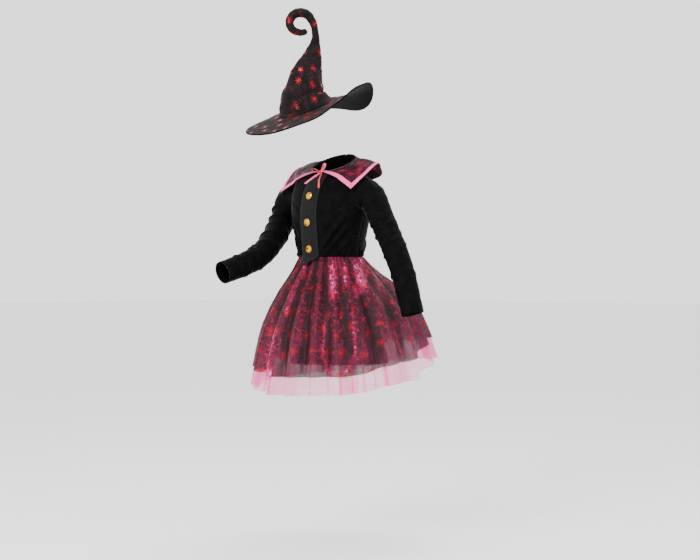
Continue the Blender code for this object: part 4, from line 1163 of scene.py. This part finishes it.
def make_crown():
    """A tube of falling radius about a line that rises from the brim, leans, and turns once
    round the curl's middle. Rings start square to the brim and turn to face along the line."""
    square = brim_axes()[2]
    turns = np.linspace(CURL_REACH[0][0], CURL_REACH[0][-1], CURL_ROWS)[1:]
    reach = np.interp(turns, *CURL_REACH)
    curl = hat_place(CURL_MIDDLE[0] + reach * np.cos(np.radians(turns)),
                     CURL_MIDDLE[1] + reach * np.sin(np.radians(turns)))
    line = np.concatenate([hat_place(CROWN_SECTIONS[:, 0], CROWN_SECTIONS[:, 1]), curl])
    radii = np.concatenate([CROWN_SECTIONS[:, 2], np.interp(turns, *CURL_TUBE)])
    line[0] -= square * 0.0008
    count = len(line)
    rows = np.concatenate([np.linspace(0, 10, 111)[:-1], np.linspace(10, count - 1, 120)])
    centres = catmull(line, rows / (count - 1))
    radius = np.interp(rows, np.arange(count), radii) + 0.0016 * smooth_step(8.5, 12.0, rows)
    ahead = unit(np.gradient(centres, axis=0))
    tilt = np.maximum(0.0, 1.0 - rows / CROWN_SQUARE_ROWS)[:, None]
    ahead = unit(ahead * (1 - tilt) + square * tilt)
    first = unit(np.cross(NEARER, ahead))
    second = np.cross(ahead, first)
    angle = np.linspace(0.0, 2 * np.pi, 121)
    swell = np.sin(np.pi * np.clip(rows / 9, 0, 1))[:, None]
    reach = radius[:, None] + 0.0022 * np.cos(4 * angle[None, :] + rows[:, None]) * swell
    points = centres[:, None] + reach[..., None] * (
        first[:, None] * np.cos(angle)[None, :, None]
        + second[:, None] * np.sin(angle)[None, :, None])
    # Folds in metres round and along the cone, and fine rings of wrinkles inside the curl
    along = rows[:, None] * CROWN_ROW
    table = [(np.radians(a) * CROWN_GIRTH, b * CROWN_ROW,
              np.radians(c) * CROWN_GIRTH, d * CROWN_ROW, w, k)
             for a, b, c, d, w, k in CROWN_FOLDS]
    depth = sum(soft_folds((angle[None, :] + turn) * CROWN_GIRTH, along, table)
                for turn in (0.0, 2 * np.pi))
    depth = depth * smooth_step(0.0, 1.2, rows)[:, None] \
        * np.clip(radius[:, None] / 0.03, 0.15, 1.0)
    wrinkle = 0.0003 * np.sin(rows[:, None] * 5.2 + 1.5 * np.cos(angle)[None, :]) \
        * smooth_step(9.0, 12.0, rows)[:, None]
    seam = -0.0008 * np.exp(-(((np.mod(angle - 1.3 + np.pi, 2 * np.pi) - np.pi)[None, :]
                                * radius[:, None]) / 0.0014) ** 2)
    points = press(points, depth + wrinkle + seam, closed=True)
    # The tip closes in a rounded end
    last, way, size = centres[-1], ahead[-1], radius[-1]
    bow = np.linspace(0.0, np.pi / 2 - 0.02, 9)[1:, None, None]
    ring = points[-1] - last
    cap = last + way * size * 0.85 * np.sin(bow) + ring[None] * np.cos(bow)
    points = np.concatenate([points, cap])
    slant = np.concatenate([[0], np.cumsum(np.linalg.norm(np.diff(
        np.concatenate([centres, cap.mean(axis=1)]), axis=0), axis=-1))])
    girth = np.concatenate([radius, size * np.cos(bow[:, 0, 0])])
    fan = slant[-1] + 0.06 - slant
    swing = (angle[None, :] - np.pi) * (girth / fan)[:, None]
    flat = (fan[:, None] * np.sin(swing), fan[:, None] * np.cos(swing))
    piece = cloth("hat_crown_felt", points, CROWN_FELT, FELT_WALL, closed=True, flat=flat,
                  under=UNDER_FELT)
    place_in_part(piece, ["hat_crown"])


def brim_surface(share, angle):
    """The brim: straight from the band to the outer ring in its own tipped plane, lifted by
    the edge's table, averaged over a few degrees so that it has no corners, times the share to
    the power 1.6, with low ripples towards the edge."""
    right, near, square = brim_axes()
    middle = hat_place(*BRIM_MIDDLE)
    band = hat_place(CROWN_SECTIONS[0, 0], CROWN_SECTIONS[0, 1]) - square * BRIM_BAND_DROP
    way = right * np.cos(angle)[..., None] + near * np.sin(angle)[..., None]
    steps = np.arange(-14.0, 15.0, 2.0)
    weights = np.exp(-((steps / 9.0) ** 2))
    lift = sum(w * round_table(BRIM_LIFT, np.degrees(angle) + step)
               for step, w in zip(steps, weights)) / weights.sum()
    lift = lift * share**1.6
    ripple = (0.0012 * np.sin(3 * angle + 0.7) + 0.0005 * np.sin(7 * angle + 2.0)) * share**2
    outer = middle + way * BRIM_RADIUS
    inner = band + way * BRIM_BAND_RADIUS
    return inner + (outer - inner) * share[..., None] + square * (lift + ripple)[..., None]


def make_brim():
    angle = -np.linspace(0.0, 2 * np.pi, 241)[None, :]
    share = np.linspace(1.0, 0.0, 49)[:, None]
    share, angle = np.broadcast_arrays(share, angle)
    points = brim_surface(share, angle)
    reach = BRIM_BAND_RADIUS + (BRIM_RADIUS - BRIM_BAND_RADIUS) * share
    flat = (reach * np.cos(angle), reach * np.sin(angle))
    piece = cloth("hat_brim_felt", points, BRIM_FELT, BRIM_WALL, closed=True, flat=flat,
                  under=UNDER_FELT)
    place_in_part(piece, ["hat_brim"])
    # A bias strip folded over the edge: a small oval carried round it
    turn = -np.linspace(0.0, 2 * np.pi, 361)
    edge = brim_surface(np.ones_like(turn), turn)
    inside = brim_surface(np.full_like(turn, 0.93), turn)
    out = unit(edge - inside)
    ahead = unit(np.roll(edge[:-1], -1, axis=0) - np.roll(edge[:-1], 1, axis=0))
    ahead = np.concatenate([ahead, ahead[:1]])
    square = unit(np.cross(out, ahead))
    oval = np.linspace(0.0, 2 * np.pi, 17)
    edge = edge - out * 0.0012 - square * BRIM_WALL / 2 * np.sign(square[:, 2:3])
    strip = edge[None] + 0.0030 * out[None] * np.cos(oval)[:, None, None] \
        + 0.0023 * square[None] * np.sin(oval)[:, None, None]
    bound = cloth("hat_brim_binding", np.swapaxes(strip, 0, 1), UNDER_FELT, closed=True)
    place_in_part(bound, [])


# Stage, light and camera

def make_stage():
    mesh = bpy.data.meshes.new("studio_floor")
    corners = [(x * FLOOR_HALF, y * FLOOR_HALF, FLOOR_Z)
               for x, y in ((-1, -1), (1, -1), (1, 1), (-1, 1))]
    mesh.from_pydata(corners, [], [(0, 1, 2, 3)])
    floor = bpy.data.objects.new("studio_floor", mesh)
    bpy.context.scene.collection.objects.link(floor)
    pale = Finish("pale floor", Roughness=0.9, Specular_IOR_Level=0.1)
    tone = pale.noise(pale.place(), 3.0, 2.0, 0.5)
    pale.set(Base_Color=pale.blend(tone, dye("#f2f2f2"), dye("#f6f6f6")))
    mesh.materials.append(pale.material)
    world = bpy.data.worlds.new("studio")
    world.use_nodes = True
    ground = world.node_tree.nodes["Background"]
    ground.inputs[0].default_value = (1.0, 1.0, 1.0, 1.0)
    ground.inputs[1].default_value = WORLD_STRENGTH
    bpy.context.scene.world = world


def make_light(name, across, nearer, height, size, power):
    lamp = bpy.data.lights.new(name, "AREA")
    lamp.shape = "DISK"
    lamp.size = size
    lamp.energy = power
    light = bpy.data.objects.new(name, lamp)
    bpy.context.scene.collection.objects.link(light)
    place = ACROSS * across + NEARER * nearer + UP * height
    light.location = place
    way = np.array([0.0, 0.0, -0.25]) - place
    level = np.hypot(way[0], way[1])
    light.rotation_euler = (np.arctan2(level, -way[2]), 0.0, np.arctan2(-way[0], way[1]))


def make_camera():
    lens = bpy.data.cameras.new("photo_view")
    lens.lens = LENS
    lens.sensor_width = 36.0
    camera = bpy.data.objects.new("photo_view", lens)
    bpy.context.scene.collection.objects.link(camera)
    camera.location = ACROSS * VIEW_AIM[0] + UP * VIEW_AIM[1] + NEARER * CAMERA_AWAY
    camera.rotation_euler = (np.radians(90), 0.0, VIEW_TURN)
    bpy.context.scene.camera = camera


make_bodice()
make_panel()
make_buttons()
for side in ("left", "right"):
    make_sleeve(side)
make_collar()
make_bow()
make_skirt_mesh()
make_tulle()
make_lining()
make_crown()
make_brim()
make_stage()
make_light("key", -1.6, 2.6, 1.6, 1.2, 110.0)
make_light("fill", 2.4, 2.0, 0.6, 2.0, 26.0)
make_light("top", 0.3, -0.6, 2.4, 1.2, 45.0)
make_camera()
